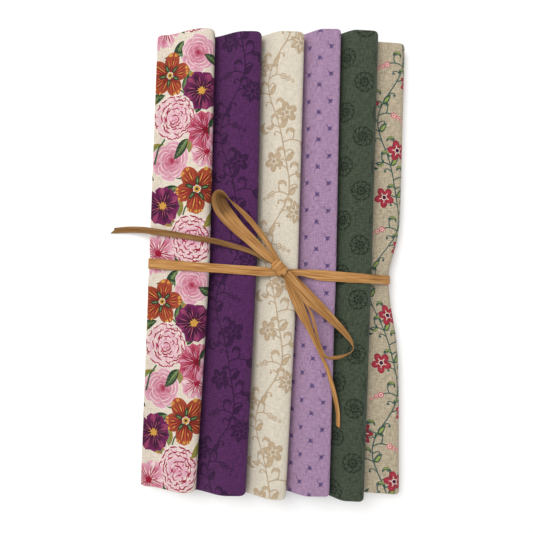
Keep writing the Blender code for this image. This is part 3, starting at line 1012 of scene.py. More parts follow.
def printed_pattern(strip, columns, lines):
    """The flat sheet cut along every shape of its print: flat points, faces, their owners and the paints."""
    low = (columns[0], lines[0])
    high = (columns[-1], lines[-1])
    points, edges, faces = [], [], []
    for u in columns[1:-1]:
        points.extend(((u, low[1]), (u, high[1])))
        edges.append((len(points) - 2, len(points) - 1))
    for v in lines[1:-1]:
        points.extend(((low[0], v), (high[0], v)))
        edges.append((len(points) - 2, len(points) - 1))
    points.extend((low, (high[0], low[1]), high, (low[0], high[1])))
    faces.append(list(range(len(points) - 4, len(points))))
    paints = [plain(GROUNDS[strip.name])]
    inner_low = [value + PRINT_MARGIN for value in low]
    inner_high = [value - PRINT_MARGIN for value in high]
    shapes = []
    for outline, paint in print_of(strip.name, low, high):
        inside = clipped(outline, inner_low, inner_high)
        area = abs(signed_area(inside))
        if area < SMALLEST_SHAPE or area < FINE_SHAPE and inside[0][0] > UNDERSIDE_FROM:
            continue
        first = len(points)
        points.extend(inside)
        edges.extend((first + step, first + (step + 1) % len(inside)) for step in range(len(inside)))
        shapes.append(np.array(inside))
        paints.append(paint)
    result = delaunay_2d_cdt([Vector(point) for point in points], edges, faces, 1, MERGE_WITHIN)
    flat = np.array([tuple(point) for point in result[0]])
    triangles = [tuple(face) for face in result[2]]
    return flat, triangles, topmost_shapes(flat, triangles, shapes), paints


def topmost_shapes(flat, triangles, shapes):
    """The number of the last shape over each triangle's middle, counted from 1, or 0 for the ground."""
    middles = flat[np.array(triangles)].mean(axis=1)
    owners = np.zeros(len(middles), int)
    cells = {}
    for number, (column, row) in enumerate(np.floor(middles / CELL).astype(int)):
        cells.setdefault((column, row), []).append(number)
    cells = {cell: np.array(numbers) for cell, numbers in cells.items()}
    for number, outline in enumerate(shapes, 1):
        first = np.floor(outline.min(axis=0) / CELL).astype(int)
        last = np.floor(outline.max(axis=0) / CELL).astype(int)
        near = [
            cells[(column, row)]
            for column in range(first[0], last[0] + 1)
            for row in range(first[1], last[1] + 1)
            if (column, row) in cells
        ]
        if near:
            near = np.concatenate(near)
            owners[near[covered(middles[near], outline)]] = number
    return owners.tolist()


def covered(spots, outline):
    """Which spots lie inside the outline, by the sides that a line from each spot crosses."""
    x, y = spots[:, 0, None], spots[:, 1, None]
    x1, y1 = outline[:, 0], outline[:, 1]
    x2, y2 = np.roll(x1, -1), np.roll(y1, -1)
    straddles = (y1 > y) != (y2 > y)
    rise = np.where(y2 == y1, 1.0, y2 - y1)
    crossed = straddles & (x < (x2 - x1) * (y - y1) / rise + x1)
    return crossed.sum(axis=1) % 2 == 1


def painted_corners(flat, faces, owners, paints):
    """The colour at every corner of the faces, from the paint of each face's topmost shape."""
    uses = {}
    corner = 0
    for face, owner in zip(faces, owners):
        for vertex in face:
            uses.setdefault(owner, []).append((corner, vertex))
            corner += 1
    colours = np.ones((corner, 3))
    for owner, pairs in uses.items():
        corners, vertices = zip(*pairs)
        colours[list(corners)] = paints[owner](flat[list(vertices)])
    return colours


def skin_mesh(index):
    """The printed outer ply as a thin closed shell: points, normals, faces, flat places, corner colours."""
    strip = STRIPS[index]
    grid = skin_grid(index)
    columns = flat_columns(grid)
    crossings = np.linspace(strip.end_low, strip.end_top, CROSS_LINES + 1)
    kept = np.concatenate((columns[:-1:2], columns[-1:]))
    flat, faces, owners, paints = printed_pattern(strip, kept.tolist(), crossings.tolist())
    colours = painted_corners(flat, faces, owners, paints)
    back_flat = np.array([(u, v) for v in crossings for u in kept])
    every = np.concatenate((flat, back_flat))
    places = read_grid(grid, columns, strip, every)
    facing = read_grid(grid_normals(grid), columns, strip, every)
    facing /= np.linalg.norm(facing, axis=1, keepdims=True)
    count = len(flat)
    places[count:] -= facing[count:] * SKIN_PLY
    facing[count:] *= -1.0
    wide = len(kept)
    back = []
    for row in range(CROSS_LINES):
        for column in range(wide - 1):
            here = count + row * wide + column
            back.append((here, here + wide, here + wide + 1, here + 1))
    return places, facing, faces + back + rim(flat, back_flat, wide), every, colours


def rim(flat, back_flat, wide):
    """Faces that close the sheet's edge, between the printed side and the inner side."""
    count = len(flat)
    rows = len(back_flat) // wide
    loop = list(range(wide)) + [row * wide + wide - 1 for row in range(1, rows)]
    loop += [(rows - 1) * wide + column for column in range(wide - 2, -1, -1)]
    loop += [row * wide for row in range(rows - 2, 0, -1)]
    corners = (flat[:, 0] == flat[:, 0].min()) | (flat[:, 0] == flat[:, 0].max())
    corners |= (flat[:, 1] == flat[:, 1].min()) | (flat[:, 1] == flat[:, 1].max())
    on_edge = np.flatnonzero(corners)
    match = {}
    for spot in loop:
        away = np.linalg.norm(flat[on_edge] - back_flat[spot], axis=1)
        match[spot] = int(on_edge[away.argmin()])
    sides = []
    for place, spot in enumerate(loop):
        after = loop[(place + 1) % len(loop)]
        sides.append((match[after], match[spot], spot + count, after + count))
    return sides


# The plies inside, folded to and fro and then once in half.
RISE_SHARES = (0.0, 0.2, 0.4, 0.6, 0.8, 1.0)
CORE_STATIONS = (0.0, 0.2, 0.38, 0.43, 0.455, 0.515, 0.54, 0.6, 0.8, 1.0)
CORE_LEFT = 1.0
END_SPREAD = 1.2
END_INSET = 0.8
LOOSE_ENDS = (0.0, 1.1, 0.4, 1.6, 0.2, 0.9, 1.4, 0.5, 1.2, 0.3, 0.8, 0.1)


def half_turn(x, height, radius, steps, side):
    """Points on a half circle that bulges to one side, from below to above."""
    spots = []
    for step in range(1, steps):
        angle = -pi / 2 + pi * step / steps
        spots.append((x + side * radius * cos(angle), height + radius * sin(angle)))
    return spots


def core_path(index, y):
    """Middle line of the doubled cloth inside the outer ply, as (x, height above the underside)."""
    strip = STRIPS[index]
    thick = pile(y)
    count = DOUBLED_LAYERS
    doubled = PLY_APART + PLY
    first_height = INNER_ROOM + doubled / 2
    step = (thick - 2 * first_height) / (count - 1)
    heights = [first_height + step * level for level in range(count)]
    fold = right_edge(strip, y) - thick / 2
    left = left_edge(strip, y)
    if index == len(STRIPS) - 1:
        bends = [left + (fold - left) * share for share in (0.3, 0.5, 0.7)]
    else:
        start, end = rise_span(index, y)
        bends = [start + (end - start) * share for share in RISE_SHARES]

    def run(level):
        first = left + CORE_LEFT + LOOSE_ENDS[level]
        return [(x, heights[level]) for x in [first] + [max(bend, first + 0.2) for bend in bends] + [fold]]

    half = count // 2
    path = run(half - 1)
    low, high = half - 1, half
    rising = True
    while True:
        upper, lower = max(low, high), min(low, high)
        size = (heights[upper] - heights[lower]) / 2
        arc = half_turn(fold, (heights[upper] + heights[lower]) / 2, size, 5 + (upper - lower) // 2, 1)
        target = high if rising else low
        path += arc if rising else arc[::-1]
        path += run(target)[::-1]
        following = target + 1 if rising else target - 1
        if not 0 <= following < count:
            return path
        x = left + CORE_LEFT + min(LOOSE_ENDS[target], LOOSE_ENDS[following])
        middle = (heights[target] + heights[following]) / 2
        small = half_turn(x, middle, step / 2, 4, -1)
        path += small if rising else small[::-1]
        path += run(following)
        low, high = (low, following) if rising else (following, high)
        if rising:
            low -= 1
        else:
            high += 1
        rising = not rising


def offset_loop(path, distance):
    """A closed line at one distance round the path, so that it runs along both its sides."""
    sides = ([], [])
    for place, (x, height) in enumerate(path):
        before = Vector(path[max(place - 1, 0)])
        after = Vector(path[min(place + 1, len(path) - 1)])
        way = (after - before).normalized()
        sides[0].append((x - way.y * distance, height + way.x * distance))
        sides[1].append((x + way.y * distance, height - way.x * distance))
    return sides[0] + sides[1][::-1]


def ring_faces(here, there, size, flipped=False):
    """Faces between two rings of size points, whose first points are here and there."""
    faces = []
    for corner in range(size):
        after = (corner + 1) % size
        if flipped:
            faces.append((here + corner, here + after, there + after, there + corner))
        else:
            faces.append((here + corner, there + corner, there + after, here + after))
    return faces


def core_mesh(index):
    """The doubled cloth inside, a thin shell round its folded line: points, faces, flat places."""
    strip = STRIPS[index]
    points, flat = [], []
    for number, share in enumerate(CORE_STATIONS):
        y = strip.end_low + (strip.end_top - strip.end_low) * share
        path = core_path(index, y)
        lift = WAIST_LIFT * waist(y)
        outer = offset_loop(path, (PLY_APART + PLY) / 2)
        inner = offset_loop(path, (PLY_APART - PLY) / 2)
        size = len(outer)
        end = number in (0, len(CORE_STATIONS) - 1)
        for loop in (outer, inner):
            run = 0.0
            for place, (x, height) in enumerate(loop):
                run += math.dist((x, height), loop[place - 1]) if place else 0.0
                flat.append((run, y))
                spread = 0.0
                if end:
                    spread = END_SPREAD * grain(x / 16.0, height * 1.7, index + number * 3.0)
                    spread = (spread - END_INSET) * (1 if number else -1)
                z = lift + underside(index, x, y) + height
                back = end_slant(strip, x, y) + corner_pull(strip, x, y)
                points.append((x, y + back + spread, z))
    last = (len(CORE_STATIONS) - 1) * 2 * size
    faces = ring_faces(0, size, size, flipped=True)
    for here in range(0, last, 2 * size):
        there = here + 2 * size
        faces += ring_faces(here, there, size)
        faces += ring_faces(here + size, there + size, size, flipped=True)
    faces += ring_faces(last + size, last, size, flipped=True)
    return points, faces, flat


# The weave of the cotton, in metres from thread to thread, and its slubs, in steps per metre each way.
THREAD = 0.00058
SLUB_SCALES = ((260.0, 1350.0), (1350.0, 260.0))
SLUB_DETAIL = 3.0
WEAVE_BUMP = 0.35
BUMP_DEPTH = 0.0002


def wired(tree, node, inputs):
    """Fills a node's inputs, by name or number, with values or from other nodes' outputs."""
    for key, value in inputs.items():
        if isinstance(value, bpy.types.NodeSocket):
            tree.links.new(value, node.inputs[key])
        else:
            node.inputs[key].default_value = value
    return node


def maths(tree, operation, *values):
    node = tree.nodes.new("ShaderNodeMath")
    node.operation = operation
    return wired(tree, node, dict(enumerate(values))).outputs[0]


def vector_maths(tree, operation, inputs):
    node = tree.nodes.new("ShaderNodeVectorMath")
    node.operation = operation
    return wired(tree, node, inputs).outputs[0]


def corner_colour(tree, name):
    """The colours that the mesh keeps under a name."""
    node = tree.nodes.new("ShaderNodeAttribute")
    node.attribute_name = name
    return node.outputs["Color"]


def flat_place(tree):
    """The place on the flat cloth or ribbon, in metres."""
    node = tree.nodes.new("ShaderNodeUVMap")
    node.uv_map = "flat"
    return node.outputs["UV"]


def streaks(tree, flat, scales, detail):
    """The mean of two noises, each with its own steps per metre across and along."""
    parts = []
    for scale in scales:
        mapping = tree.nodes.new("ShaderNodeMapping")
        wired(tree, mapping, {"Vector": flat, "Scale": (*scale, 1.0)})
        texture = tree.nodes.new("ShaderNodeTexNoise")
        wired(tree, texture, {"Vector": mapping.outputs[0], "Scale": 1.0, "Detail": detail})
        parts.append(texture.outputs["Fac"])
    return maths(tree, "MULTIPLY", maths(tree, "ADD", *parts), 0.5)


def new_material(name, inputs):
    """A material with these inputs of its shader, and its node tree."""
    made = bpy.data.materials.new(name)
    made.use_nodes = True
    wired(made.node_tree, made.node_tree.nodes["Principled BSDF"], inputs)
    return made, made.node_tree


def dress(tree, colour, height, strength):
    """Gives the material's shader its colour and its bump."""
    bump = tree.nodes.new("ShaderNodeBump")
    wired(tree, bump, {"Strength": strength, "Distance": BUMP_DEPTH, "Height": height})
    wired(tree, tree.nodes["Principled BSDF"], {"Base Color": colour, "Normal": bump.outputs["Normal"]})


def thread_height(tree, flat):
    """A plain weave: warp and weft threads that pass over each other in turn."""
    scaled = vector_maths(tree, "SCALE", {0: flat, "Scale": pi / THREAD})
    parts = wired(tree, tree.nodes.new("ShaderNodeSeparateXYZ"), {0: scaled})
    waves = [maths(tree, "SINE", parts.outputs[axis]) for axis in ("X", "Y")]
    return maths(tree, "MULTIPLY_ADD", maths(tree, "MULTIPLY", *waves), 0.5, 0.5)


def cloth_material(name, rough, weave, slub, sheen):
    """Woven cotton: the print's colours with painted shade between the threads, slubs, and a bump of the
    weave.
    """
    surface = {"Roughness": rough, "Specular IOR Level": 0.18, "Sheen Weight": sheen, "Sheen Roughness": 0.6}
    made, tree = new_material(name, surface)
    flat = flat_place(tree)
    height = thread_height(tree, flat)
    # Painted shade where the threads dip under each other.
    threads = maths(tree, "MULTIPLY_ADD", height, weave, 1.0 - weave * 0.6)
    thick = streaks(tree, flat, SLUB_SCALES, SLUB_DETAIL)
    slubs = maths(tree, "MULTIPLY_ADD", thick, slub * 2.0, 1.0 - slub)
    light = maths(tree, "MULTIPLY", threads, slubs)
    tint = vector_maths(tree, "SCALE", {0: corner_colour(tree, "print"), "Scale": light})
    dress(tree, tint, height, WEAVE_BUMP)
    return made


def corner_points(mesh):
    """The number of the point at each corner of the mesh's faces."""
    numbers = np.empty(len(mesh.loops), np.int32)
    mesh.loops.foreach_get("vertex_index", numbers)
    return numbers


def write_layers(mesh, name, colours, flat):
    """Keeps a colour for every corner, under a name, and the flat place of every point."""
    painted = np.ones((len(mesh.loops), 4), np.float32)
    painted[:, :3] = colours
    attribute = mesh.color_attributes.new(name, "FLOAT_COLOR", "CORNER")
    attribute.data.foreach_set("color", painted.ravel())
    places = flat.astype(np.float32) * MM
    layer = mesh.uv_layers.new(name="flat")
    layer.data.foreach_set("uv", places[corner_points(mesh)].ravel())


# For each cloth: roughness, strength of the painted shade between the threads, strength of the slubs and
# sheen.
CLOTH_LOOKS = {
    "floral": (0.85, 0.20, 0.55, 0.05),
    "plum": (0.85, 0.36, 1.40, 0.08),
    "cream": (0.85, 0.18, 0.50, 0.05),
    "lilac": (0.85, 0.30, 0.90, 0.08),
    "green": (0.85, 0.42, 1.60, 0.08),
    "linen": (0.88, 0.28, 1.10, 0.05),
}


def add_object(name, data):
    made = bpy.data.objects.new(name, data)
    bpy.context.scene.collection.objects.link(made)
    return made


def build_cloth(index):
    """One cut of cotton: its printed outer ply and the plies inside, in one mesh."""
    strip = STRIPS[index]
    name = "cotton_" + strip.name
    points, facing, faces, flat, colours = skin_mesh(index)
    core_points, core_faces, core_flat = core_mesh(index)
    shift = len(points)
    every = [to_row(point) for point in (*points, *core_points)]
    core_faces = [tuple(vertex + shift for vertex in face) for face in core_faces]
    mesh = bpy.data.meshes.new(name)
    mesh.from_pydata(every, [], faces + core_faces)
    mesh.shade_smooth()
    painted = np.tile(GROUNDS[strip.name], (len(mesh.loops), 1))
    painted[: len(colours)] = colours
    write_layers(mesh, "print", painted, np.concatenate((flat, core_flat)))
    normals = np.empty(len(every) * 3, np.float32)
    mesh.vertices.foreach_get("normal", normals)
    normals = normals.reshape(-1, 3)
    normals[:shift] = facing
    mesh.normals_split_custom_set_from_vertices(normals.tolist())
    mesh.materials.append(cloth_material(name, *CLOTH_LOOKS[strip.name]))
    made = add_object(name, mesh)
    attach(made, "root")
    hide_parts("cloth_" + strip.name)
    return made


# The raffia tie, on the routes of its solids.
RAFFIA_PLY = 0.34
BAND_WIDTH = 6.0
BAND_GAP = 0.25
SHORTEST_SIDE = 0.7
BAND_STEP = 2.5
BAND_SWELL = 0.10
BAND_SWELL_LENGTH = 17.0
SHARPEST_CORNER = 0.5
# Each spot of a route is x, y, z, the ribbon's width there and its lean in degrees.
LEFT_TAIL = (
    (5.6, 0.9, 22.6, 2.2, 0),
    (2.7, 3.3, 22.0, 2.6, 0),
    (-4.0, 6.3, 21.0, 2.8, 0),
    (-11.4, 9.3, 19.7, 3.0, 0),
    (-19.4, 11.5, 19.4, 3.2, 0),
    (-31.7, 14.4, 19.4, 3.4, 0),
    (-43.2, 15.9, 19.4, 3.4, 0),
    (-48.4, 16.7, 18.5, 3.5, 0),
    (-53.0, 17.3, 16.9, 3.7, 0),
    (-59.0, 18.2, 14.9, 3.8, 0),
    (-66.0, 19.1, 12.7, 3.9, 0),
    (-73.0, 19.9, 10.2, 4.0, 0),
    (-79.0, 20.6, 7.4, 4.0, 0),
    (-85.0, 20.9, 4.2, 4.0, 0),
    (-91.5, 20.7, 1.7, 4.0, 0),
    (-99.2, 20.0, 0.9, 3.4, 0),
)
LOW_TAIL = (
    (10.6, -3.4, 22.8, 3.2, 0),
    (12.5, -6.0, 22.2, 4.0, 0),
    (15.7, -13.1, 21.0, 5.8, 0),
    (19.6, -21.4, 20.3, 6.4, 0),
    (23.0, -28.6, 20.0, 5.8, 0),
    (26.8, -35.7, 19.7, 4.0, 0),
    (30.2, -43.4, 19.5, 2.6, 0),
    (33.2, -49.6, 19.4, 1.8, 0),
    (36.0, -55.0, 19.4, 1.8, 0),
    (38.6, -60.4, 19.6, 2.2, 0),
    (40.6, -66.0, 19.8, 2.4, 0),
    (42.7, -72.6, 19.8, 2.6, -6),
    (44.8, -80.4, 18.9, 2.6, -16),
    (46.4, -88.1, 17.8, 2.6, -26),
    (47.0, -96.9, 17.5, 2.6, -32),
)
UPPER_LOOP = (
    (6.0, 1.4, 23.4, 2.8, 4),
    (2.6, 4.4, 23.9, 4.0, 8),
    (-3.2, 9.6, 24.2, 5.8, 10),
    (-11.4, 16.8, 24.1, 7.0, 8),
    (-19.8, 24.6, 23.7, 8.4, 2),
    (-26.4, 32.0, 23.5, 9.6, -8),
    (-29.0, 36.6, 23.4, 10.4, -26),
    (-30.0, 40.4, 23.4, 10.0, -40),
    (-29.2, 42.4, 23.4, 8.6, -52),
    (-26.2, 41.8, 23.5, 6.8, -72),
    (-21.2, 37.6, 23.9, 5.0, -108),
    (-13.8, 30.6, 24.3, 4.2, -134),
    (-6.6, 22.7, 24.5, 3.8, -148),
    (0.2, 14.0, 24.4, 3.4, -158),
    (5.0, 6.6, 24.1, 3.0, -166),
    (7.4, 2.4, 23.6, 2.4, -172),
)
LOWER_LOOP = (
    (11.0, -2.6, 23.6, 3.2, 4),
    (13.9, -5.3, 23.9, 5.0, 6),
    (19.6, -11.4, 24.2, 7.2, 8),
    (26.8, -18.6, 24.4, 7.8, 14),
    (34.0, -24.8, 24.5, 7.0, 24),
    (41.6, -31.7, 24.5, 6.0, 34),
    (47.7, -37.6, 24.0, 5.2, 44),
    (52.6, -43.7, 23.3, 4.6, 62),
    (53.6, -48.6, 22.9, 4.2, 80),
    (49.0, -52.0, 22.8, 4.2, 60),
    (43.2, -53.6, 22.9, 4.0, 46),
    (37.0, -52.9, 23.2, 3.2, 60),
    (32.7, -44.4, 23.9, 2.4, 48),
    (30.0, -34.4, 24.4, 2.2, 44),
    (26.9, -25.9, 24.5, 2.2, 50),
    (20.2, -16.6, 24.4, 2.2, 90),
    (12.4, -6.9, 23.9, 2.2, 96),
    (10.4, -3.6, 23.4, 2.0, 96),
)
RIBBON_ACROSS = 22
RIBBON_PARTS = 10
# Each ribbon takes its fibres from its own place, this far from the next one's.
RIBBON_APART = 20.0
SHADE_LIMITS = (0.15, 1.3)


def eased_value(p, q, r, s, t):
    """The value a share t of the way from q to r, on a smooth curve with p before and s after them."""
    squared = (2 * p - 5 * q + 4 * r - s) * t * t
    cubed = (3 * q - p - 3 * r + s) * t * t * t
    return 0.5 * (2 * q + (r - p) * t + squared + cubed)


def eased(spots, parts):
    """Points on a smooth line through the route's spots, with width and lean read between them."""
    line = []
    for place in range(len(spots) - 1):
        a = spots[max(place - 1, 0)]
        b = spots[place]
        c = spots[place + 1]
        d = spots[min(place + 2, len(spots) - 1)]
        for part in range(parts):
            line.append(tuple(eased_value(*four, part / parts) for four in zip(a, b, c, d)))
    line.append(spots[-1])
    return line


# Pleats: waves across, millimetres along and share of the depth.
FINE_PLEATS = (9.0, 45.0, 0.7)
BROAD_PLEATS = (3.4, 30.0, 1.1)
RAGGED_SHARE = 0.05
RAGGED_LENGTH = 9.0
THIN_EDGE = 0.35
# Painted light on the pleats: how much lighter a raised pleat is, and the most rise that counts.
RIDGE_LIGHT = 0.4
RIDGE_MOST = 0.3
# Painted shade inside a cupped loop, from a share across.
HOLLOW_FROM = -0.36
HOLLOW_FADE = 0.14
HOLLOW_SHADE = 0.5
CUPPED_FROM = -1.0
CUPPED_RISE = 9.0
CUPPED_TO = -118.0
CUPPED_FALL = 24.0


def pleat(across, run, seed, depth):
    """Height of the lengthwise pleats at a share across and a way along, in millimetres."""
    waves, length, share = FINE_PLEATS
    height = share * grain(across * waves + seed * 3.1, run / length, seed)
    waves, length, share = BROAD_PLEATS
    height += share * grain(across * waves + seed, run / length, seed + 9.0)
    return depth * height


def ribbon_mesh(name, frames, seed, depth, tint=1.0, closed=False, cut=0.0):
    """A pleated ribbon: frames hold a middle, the way across, the face's direction, the width and the painted
    shade inside a cup.
    """
    points, spots, faces, shades = [], [], [], []
    run = 0.0
    across_count = RIBBON_ACROSS
    size = 2 * (across_count + 1)
    for place, (middle, across, face, width, cup_shade) in enumerate(frames):
        if place:
            run += (middle - frames[place - 1][0]).length
        for side, order in ((1, range(across_count + 1)), (-1, range(across_count, -1, -1))):
            for step in order:
                share = step / across_count - 0.5
                edge = 1.0 - (2 * abs(share)) ** 4
                ragged = 1.0 + RAGGED_SHARE * grain(run / RAGGED_LENGTH, seed * 5.0, share * 2)
                lift = pleat(share, run, seed, depth) * edge
                lift += side * RAFFIA_PLY / 2 * (THIN_EDGE + (1.0 - THIN_EDGE) * edge)
                slide = Vector((0.0, 0.0, 0.0))
                if cut and not closed and place == len(frames) - 1:
                    slide = across.cross(face) * (cut * share)
                points.append(middle + across * (share * width * ragged) + face * lift + slide)
                spots.append((share * width, run))
                # Painted shade on the inside of a cupped loop.
                inner = cup_shade * smooth((share - HOLLOW_FROM) / HOLLOW_FADE)
                # Painted light on the raised pleats.
                ridge = 1.0 + RIDGE_LIGHT * min(lift - side * RAFFIA_PLY / 2, RIDGE_MOST)
                shades.append(tint * ridge * (1.0 - HOLLOW_SHADE * inner))
    rings = len(frames)
    for ring in range(rings if closed else rings - 1):
        faces += ring_faces(ring * size, (ring + 1) % rings * size, size, flipped=True)
    if not closed:
        for base, flip in ((0, True), ((rings - 1) * size, False)):
            for corner in range(across_count):
                face = (base + corner, base + corner + 1, base + size - 2 - corner, base + size - 1 - corner)
                faces.append(face[::-1] if flip else face)
    return add_raffia(name, points, faces, spots, shades, seed)


def add_raffia(name, points, faces, spots, shades, seed):
    """A raffia object: spots are the flat places of its points, and shades their tint with painted light and
    shade.
    """
    mesh = bpy.data.meshes.new(name)
    mesh.from_pydata([to_row(point) for point in points], [], faces)
    shape = bmesh.new()
    shape.from_mesh(mesh)
    bmesh.ops.recalc_face_normals(shape, faces=shape.faces)
    shape.to_mesh(mesh)
    shape.free()
    mesh.shade_smooth()
    kept = np.clip(np.array(shades, np.float32), *SHADE_LIMITS)[corner_points(mesh)]
    write_layers(mesh, "shade", kept[:, None], np.array([(u + seed * RIBBON_APART, v) for u, v in spots]))
    mesh.materials.append(raffia_material())
    made = add_object(name, mesh)
    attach(made, "root")
    return made


RAFFIA_SHADES = (
    (0.32, tone(122, 80, 42)),
    (0.45, tone(160, 113, 65)),
    (0.55, tone(182, 134, 82)),
    (0.70, tone(206, 163, 114)),
)
FIBRE_SCALES = tuple((scale, scale / 26.0) for scale in (2100.0, 950.0))
FIBRE_DETAIL = 2.0
FIBRE_BUMP = 0.4


def raffia_material():
    """Dry palm fibre: fine lengthwise streaks in golden brown, painted light on the ridges and painted shade
    in pits and cupped loops, from the shade layer, and dull shine.
    """
    found = bpy.data.materials.get("palm_fibre")
    if found:
        return found
    made, tree = new_material("palm_fibre", {"Roughness": 0.7, "Specular IOR Level": 0.15})
    fibres = streaks(tree, flat_place(tree), FIBRE_SCALES, FIBRE_DETAIL)
    ramp = wired(tree, tree.nodes.new("ShaderNodeValToRGB"), {"Fac": fibres})
    first, second, third, last = RAFFIA_SHADES
    for element, (position, colour) in zip(ramp.color_ramp.elements, (first, last)):
        element.position = position
        element.color = (*colour, 1.0)
    for position, colour in (second, third):
        ramp.color_ramp.elements.new(position).color = (*colour, 1.0)
    # The shade layer holds painted light and shade, multiplied into the fibre colour.
    shaded = {0: ramp.outputs["Color"], 1: corner_colour(tree, "shade")}
    dress(tree, vector_maths(tree, "MULTIPLY", shaded), fibres, FIBRE_BUMP)
    return made


def route_frames(spots, cupped=False):
    """Frames along a route. A cupped ribbon gets painted shade on its inside where its lean is between the
    two cupped leans.
    """
    line = eased(spots, RIBBON_PARTS)
    frames = []
    for place, (x, y, z, width, lean) in enumerate(line):
        here = Vector((x, y, z))
        before = Vector(line[max(place - 1, 0)][:3])
        after = Vector(line[min(place + 1, len(line) - 1)][:3])
        way = (after - before).normalized()
        level = way.cross(Vector((0, 0, 1))).normalized()
        rise = level.cross(way)
        turn = math.radians(lean)
        across = level * cos(turn) + rise * sin(turn)
        cup_shade = 0.0
        if cupped:
            cup_shade = smooth((CUPPED_FROM - lean) / CUPPED_RISE) * smooth((lean - CUPPED_TO) / CUPPED_FALL)
        frames.append((here, across, across.cross(way), width, cup_shade))
    return frames


def hull(spots):
    """The convex outline of flat points, turning left."""
    ordered = sorted(set(spots))

    def turns_right(a, b, c):
        return (b[0] - a[0]) * (c[1] - a[1]) - (b[1] - a[1]) * (c[0] - a[0]) <= 0.0

    def half(run):
        kept = []
        for spot in run:
            while len(kept) > 1 and turns_right(kept[-2], kept[-1], spot):
                kept.pop()
            kept.append(spot)
        return kept[:-1]

    return half(ordered) + half(ordered[::-1])


def band_frames():
    """The tie round the waist, on the convex outline of the strips' sections there."""
    spots = []
    for y in (BAND_RIGHT_Y, BAND_LEFT_Y):
        for index in range(len(STRIPS)):
            for x, height, _ in skin_section(index, y):
                z = WAIST_LIFT * waist(y) + underside(index, x, y) + height
                spots.append((round(x, 3), round(z, 3)))
    kept = []
    for spot in hull(spots):
        if not kept or math.dist(spot, kept[-1]) > SHORTEST_SIDE:
            kept.append(spot)
    corners = []
    for place, spot in enumerate(kept):
        here = Vector(spot)
        into = (here - Vector(kept[place - 1])).normalized()
        out_of = (Vector(kept[(place + 1) % len(kept)]) - here).normalized()
        way = (into + out_of).normalized()
        outward = Vector((way.y, -way.x))
        stretch = 1.0 / max(outward.dot(Vector((into.y, -into.x))), SHARPEST_CORNER)
        corners.append((here + outward * (BAND_GAP + RAFFIA_PLY) * stretch, outward))
    frames = []
    for place, (spot, outward) in enumerate(corners):
        after, next_outward = corners[(place + 1) % len(corners)]
        parts = max(1, int((after - spot).length / BAND_STEP))
        for part in range(parts):
            share = part / parts
            here = spot.lerp(after, share)
            face = outward.lerp(next_outward, share).normalized()
            twist = TWIST_RISE * exp(-(((here.x - TWIST_X) / TWIST_REACH) ** 2))
            middle = Vector((here.x, band_y(here.x) + twist, here.y))
            swell = 1.0 + BAND_SWELL * sin(here.x / BAND_SWELL_LENGTH)
            width = BAND_WIDTH * (swell - band_pinch(here.x))
            frames.append((middle, Vector((0, 1, 0)), Vector((face.x, 0, face.y)), width, 0.0))
    return frames


KNOT_CENTRE = (8.0, -0.8)
TWIST_X = 21.0
TWIST_RISE = 0.9
TWIST_REACH = 7.0
KNOT_PINCH = 0.30
TWIST_PINCH = 0.44


def band_pinch(x):
    """The band narrows at the knot and where it is twisted just past it."""
    knot = KNOT_PINCH * exp(-(((x - KNOT_CENTRE[0]) / TWIST_REACH) ** 2))
    return knot + TWIST_PINCH * exp(-(((x - TWIST_X) / TWIST_REACH) ** 2))


KNOT_SIZE = (5.6, 3.9, 2.5)
KNOT_TURN = math.radians(-44)
KNOT_HEIGHT = 23.4
KNOT_RINGS = 44
KNOT_SIDES = 72
KNOT_BLUNT = 0.55
KNOT_WAIST = 0.5
KNOT_WAIST_X = 0.6
KNOT_WAIST_REACH = 2.2
# Pits beside the knot, in its own axes: place along and across, and breadth each way.
KNOT_PITS = ((4.2, -2.2, 0.9, 0.8), (4.6, 2.0, 0.8, 0.7))
PIT_DEPTH = 0.9
# How much painted shade darkens the pits.
PIT_SHADE = 0.8


def build_knot():
    """The knot: a turn of pleated raffia drawn tight round the crossing, with two pits at its lower end,
    darkened with painted shade.
    """
    points, spots, faces, shades = [], [], [], []
    for ring in range(KNOT_RINGS + 1):
        tilt = pi * (ring + 0.5) / (KNOT_RINGS + 1)
        round_share = sin(tilt) ** KNOT_BLUNT
        for angle in around(KNOT_SIDES):
            c, s = cos(angle), sin(angle)
            x = KNOT_SIZE[0] * round_share * math.copysign(abs(c) ** KNOT_BLUNT, c)
            y = KNOT_SIZE[1] * round_share * math.copysign(abs(s) ** 0.8, s)
            z = KNOT_SIZE[2] * cos(tilt)
            ridges = 0.16 * grain(x * 0.5, y * 0.25, z * 0.2)
            ridges += 0.07 * grain(x * 2.0, y * 0.3, 4.0)
            waist_in = KNOT_WAIST * exp(-((x - KNOT_WAIST_X) / KNOT_WAIST_REACH) ** 2)
            size = 1.0 + (ridges - waist_in) / max(math.hypot(x, y), 2.6)
            pit = 0.0
            for u, v, long, wide in KNOT_PITS:
                pit += exp(-(((x - u) / long) ** 2 + ((y - v) / wide) ** 2))
            turned_x = (x * cos(KNOT_TURN) - y * sin(KNOT_TURN)) * size
            turned_y = (x * sin(KNOT_TURN) + y * cos(KNOT_TURN)) * size
            high = KNOT_HEIGHT + z * size - (PIT_DEPTH * pit if z > 0.0 else 0.0)
            points.append(Vector((KNOT_CENTRE[0] + turned_x, KNOT_CENTRE[1] + turned_y, high)))
            spots.append((x, y * 1.2 + z))
            # Painted shade in the pits, on the knot's upper side.
            shades.append(1.0 - PIT_SHADE * min(pit, 1.0) * (z > 0.0))
    for ring in range(KNOT_RINGS):
        faces += ring_faces(ring * KNOT_SIDES, (ring + 1) * KNOT_SIDES, KNOT_SIDES)
    faces.append(tuple(range(KNOT_SIDES)))
    faces.append(tuple(range((KNOT_RINGS + 1) * KNOT_SIDES - 1, KNOT_RINGS * KNOT_SIDES - 1, -1)))
    return add_raffia("raffia_knot", points, faces, spots, shades, 5)


BAND_PLEATS = 0.09
LOOP_PLEATS = 0.34
TAIL_PLEATS = 0.12
LOOP_TINT = 0.86


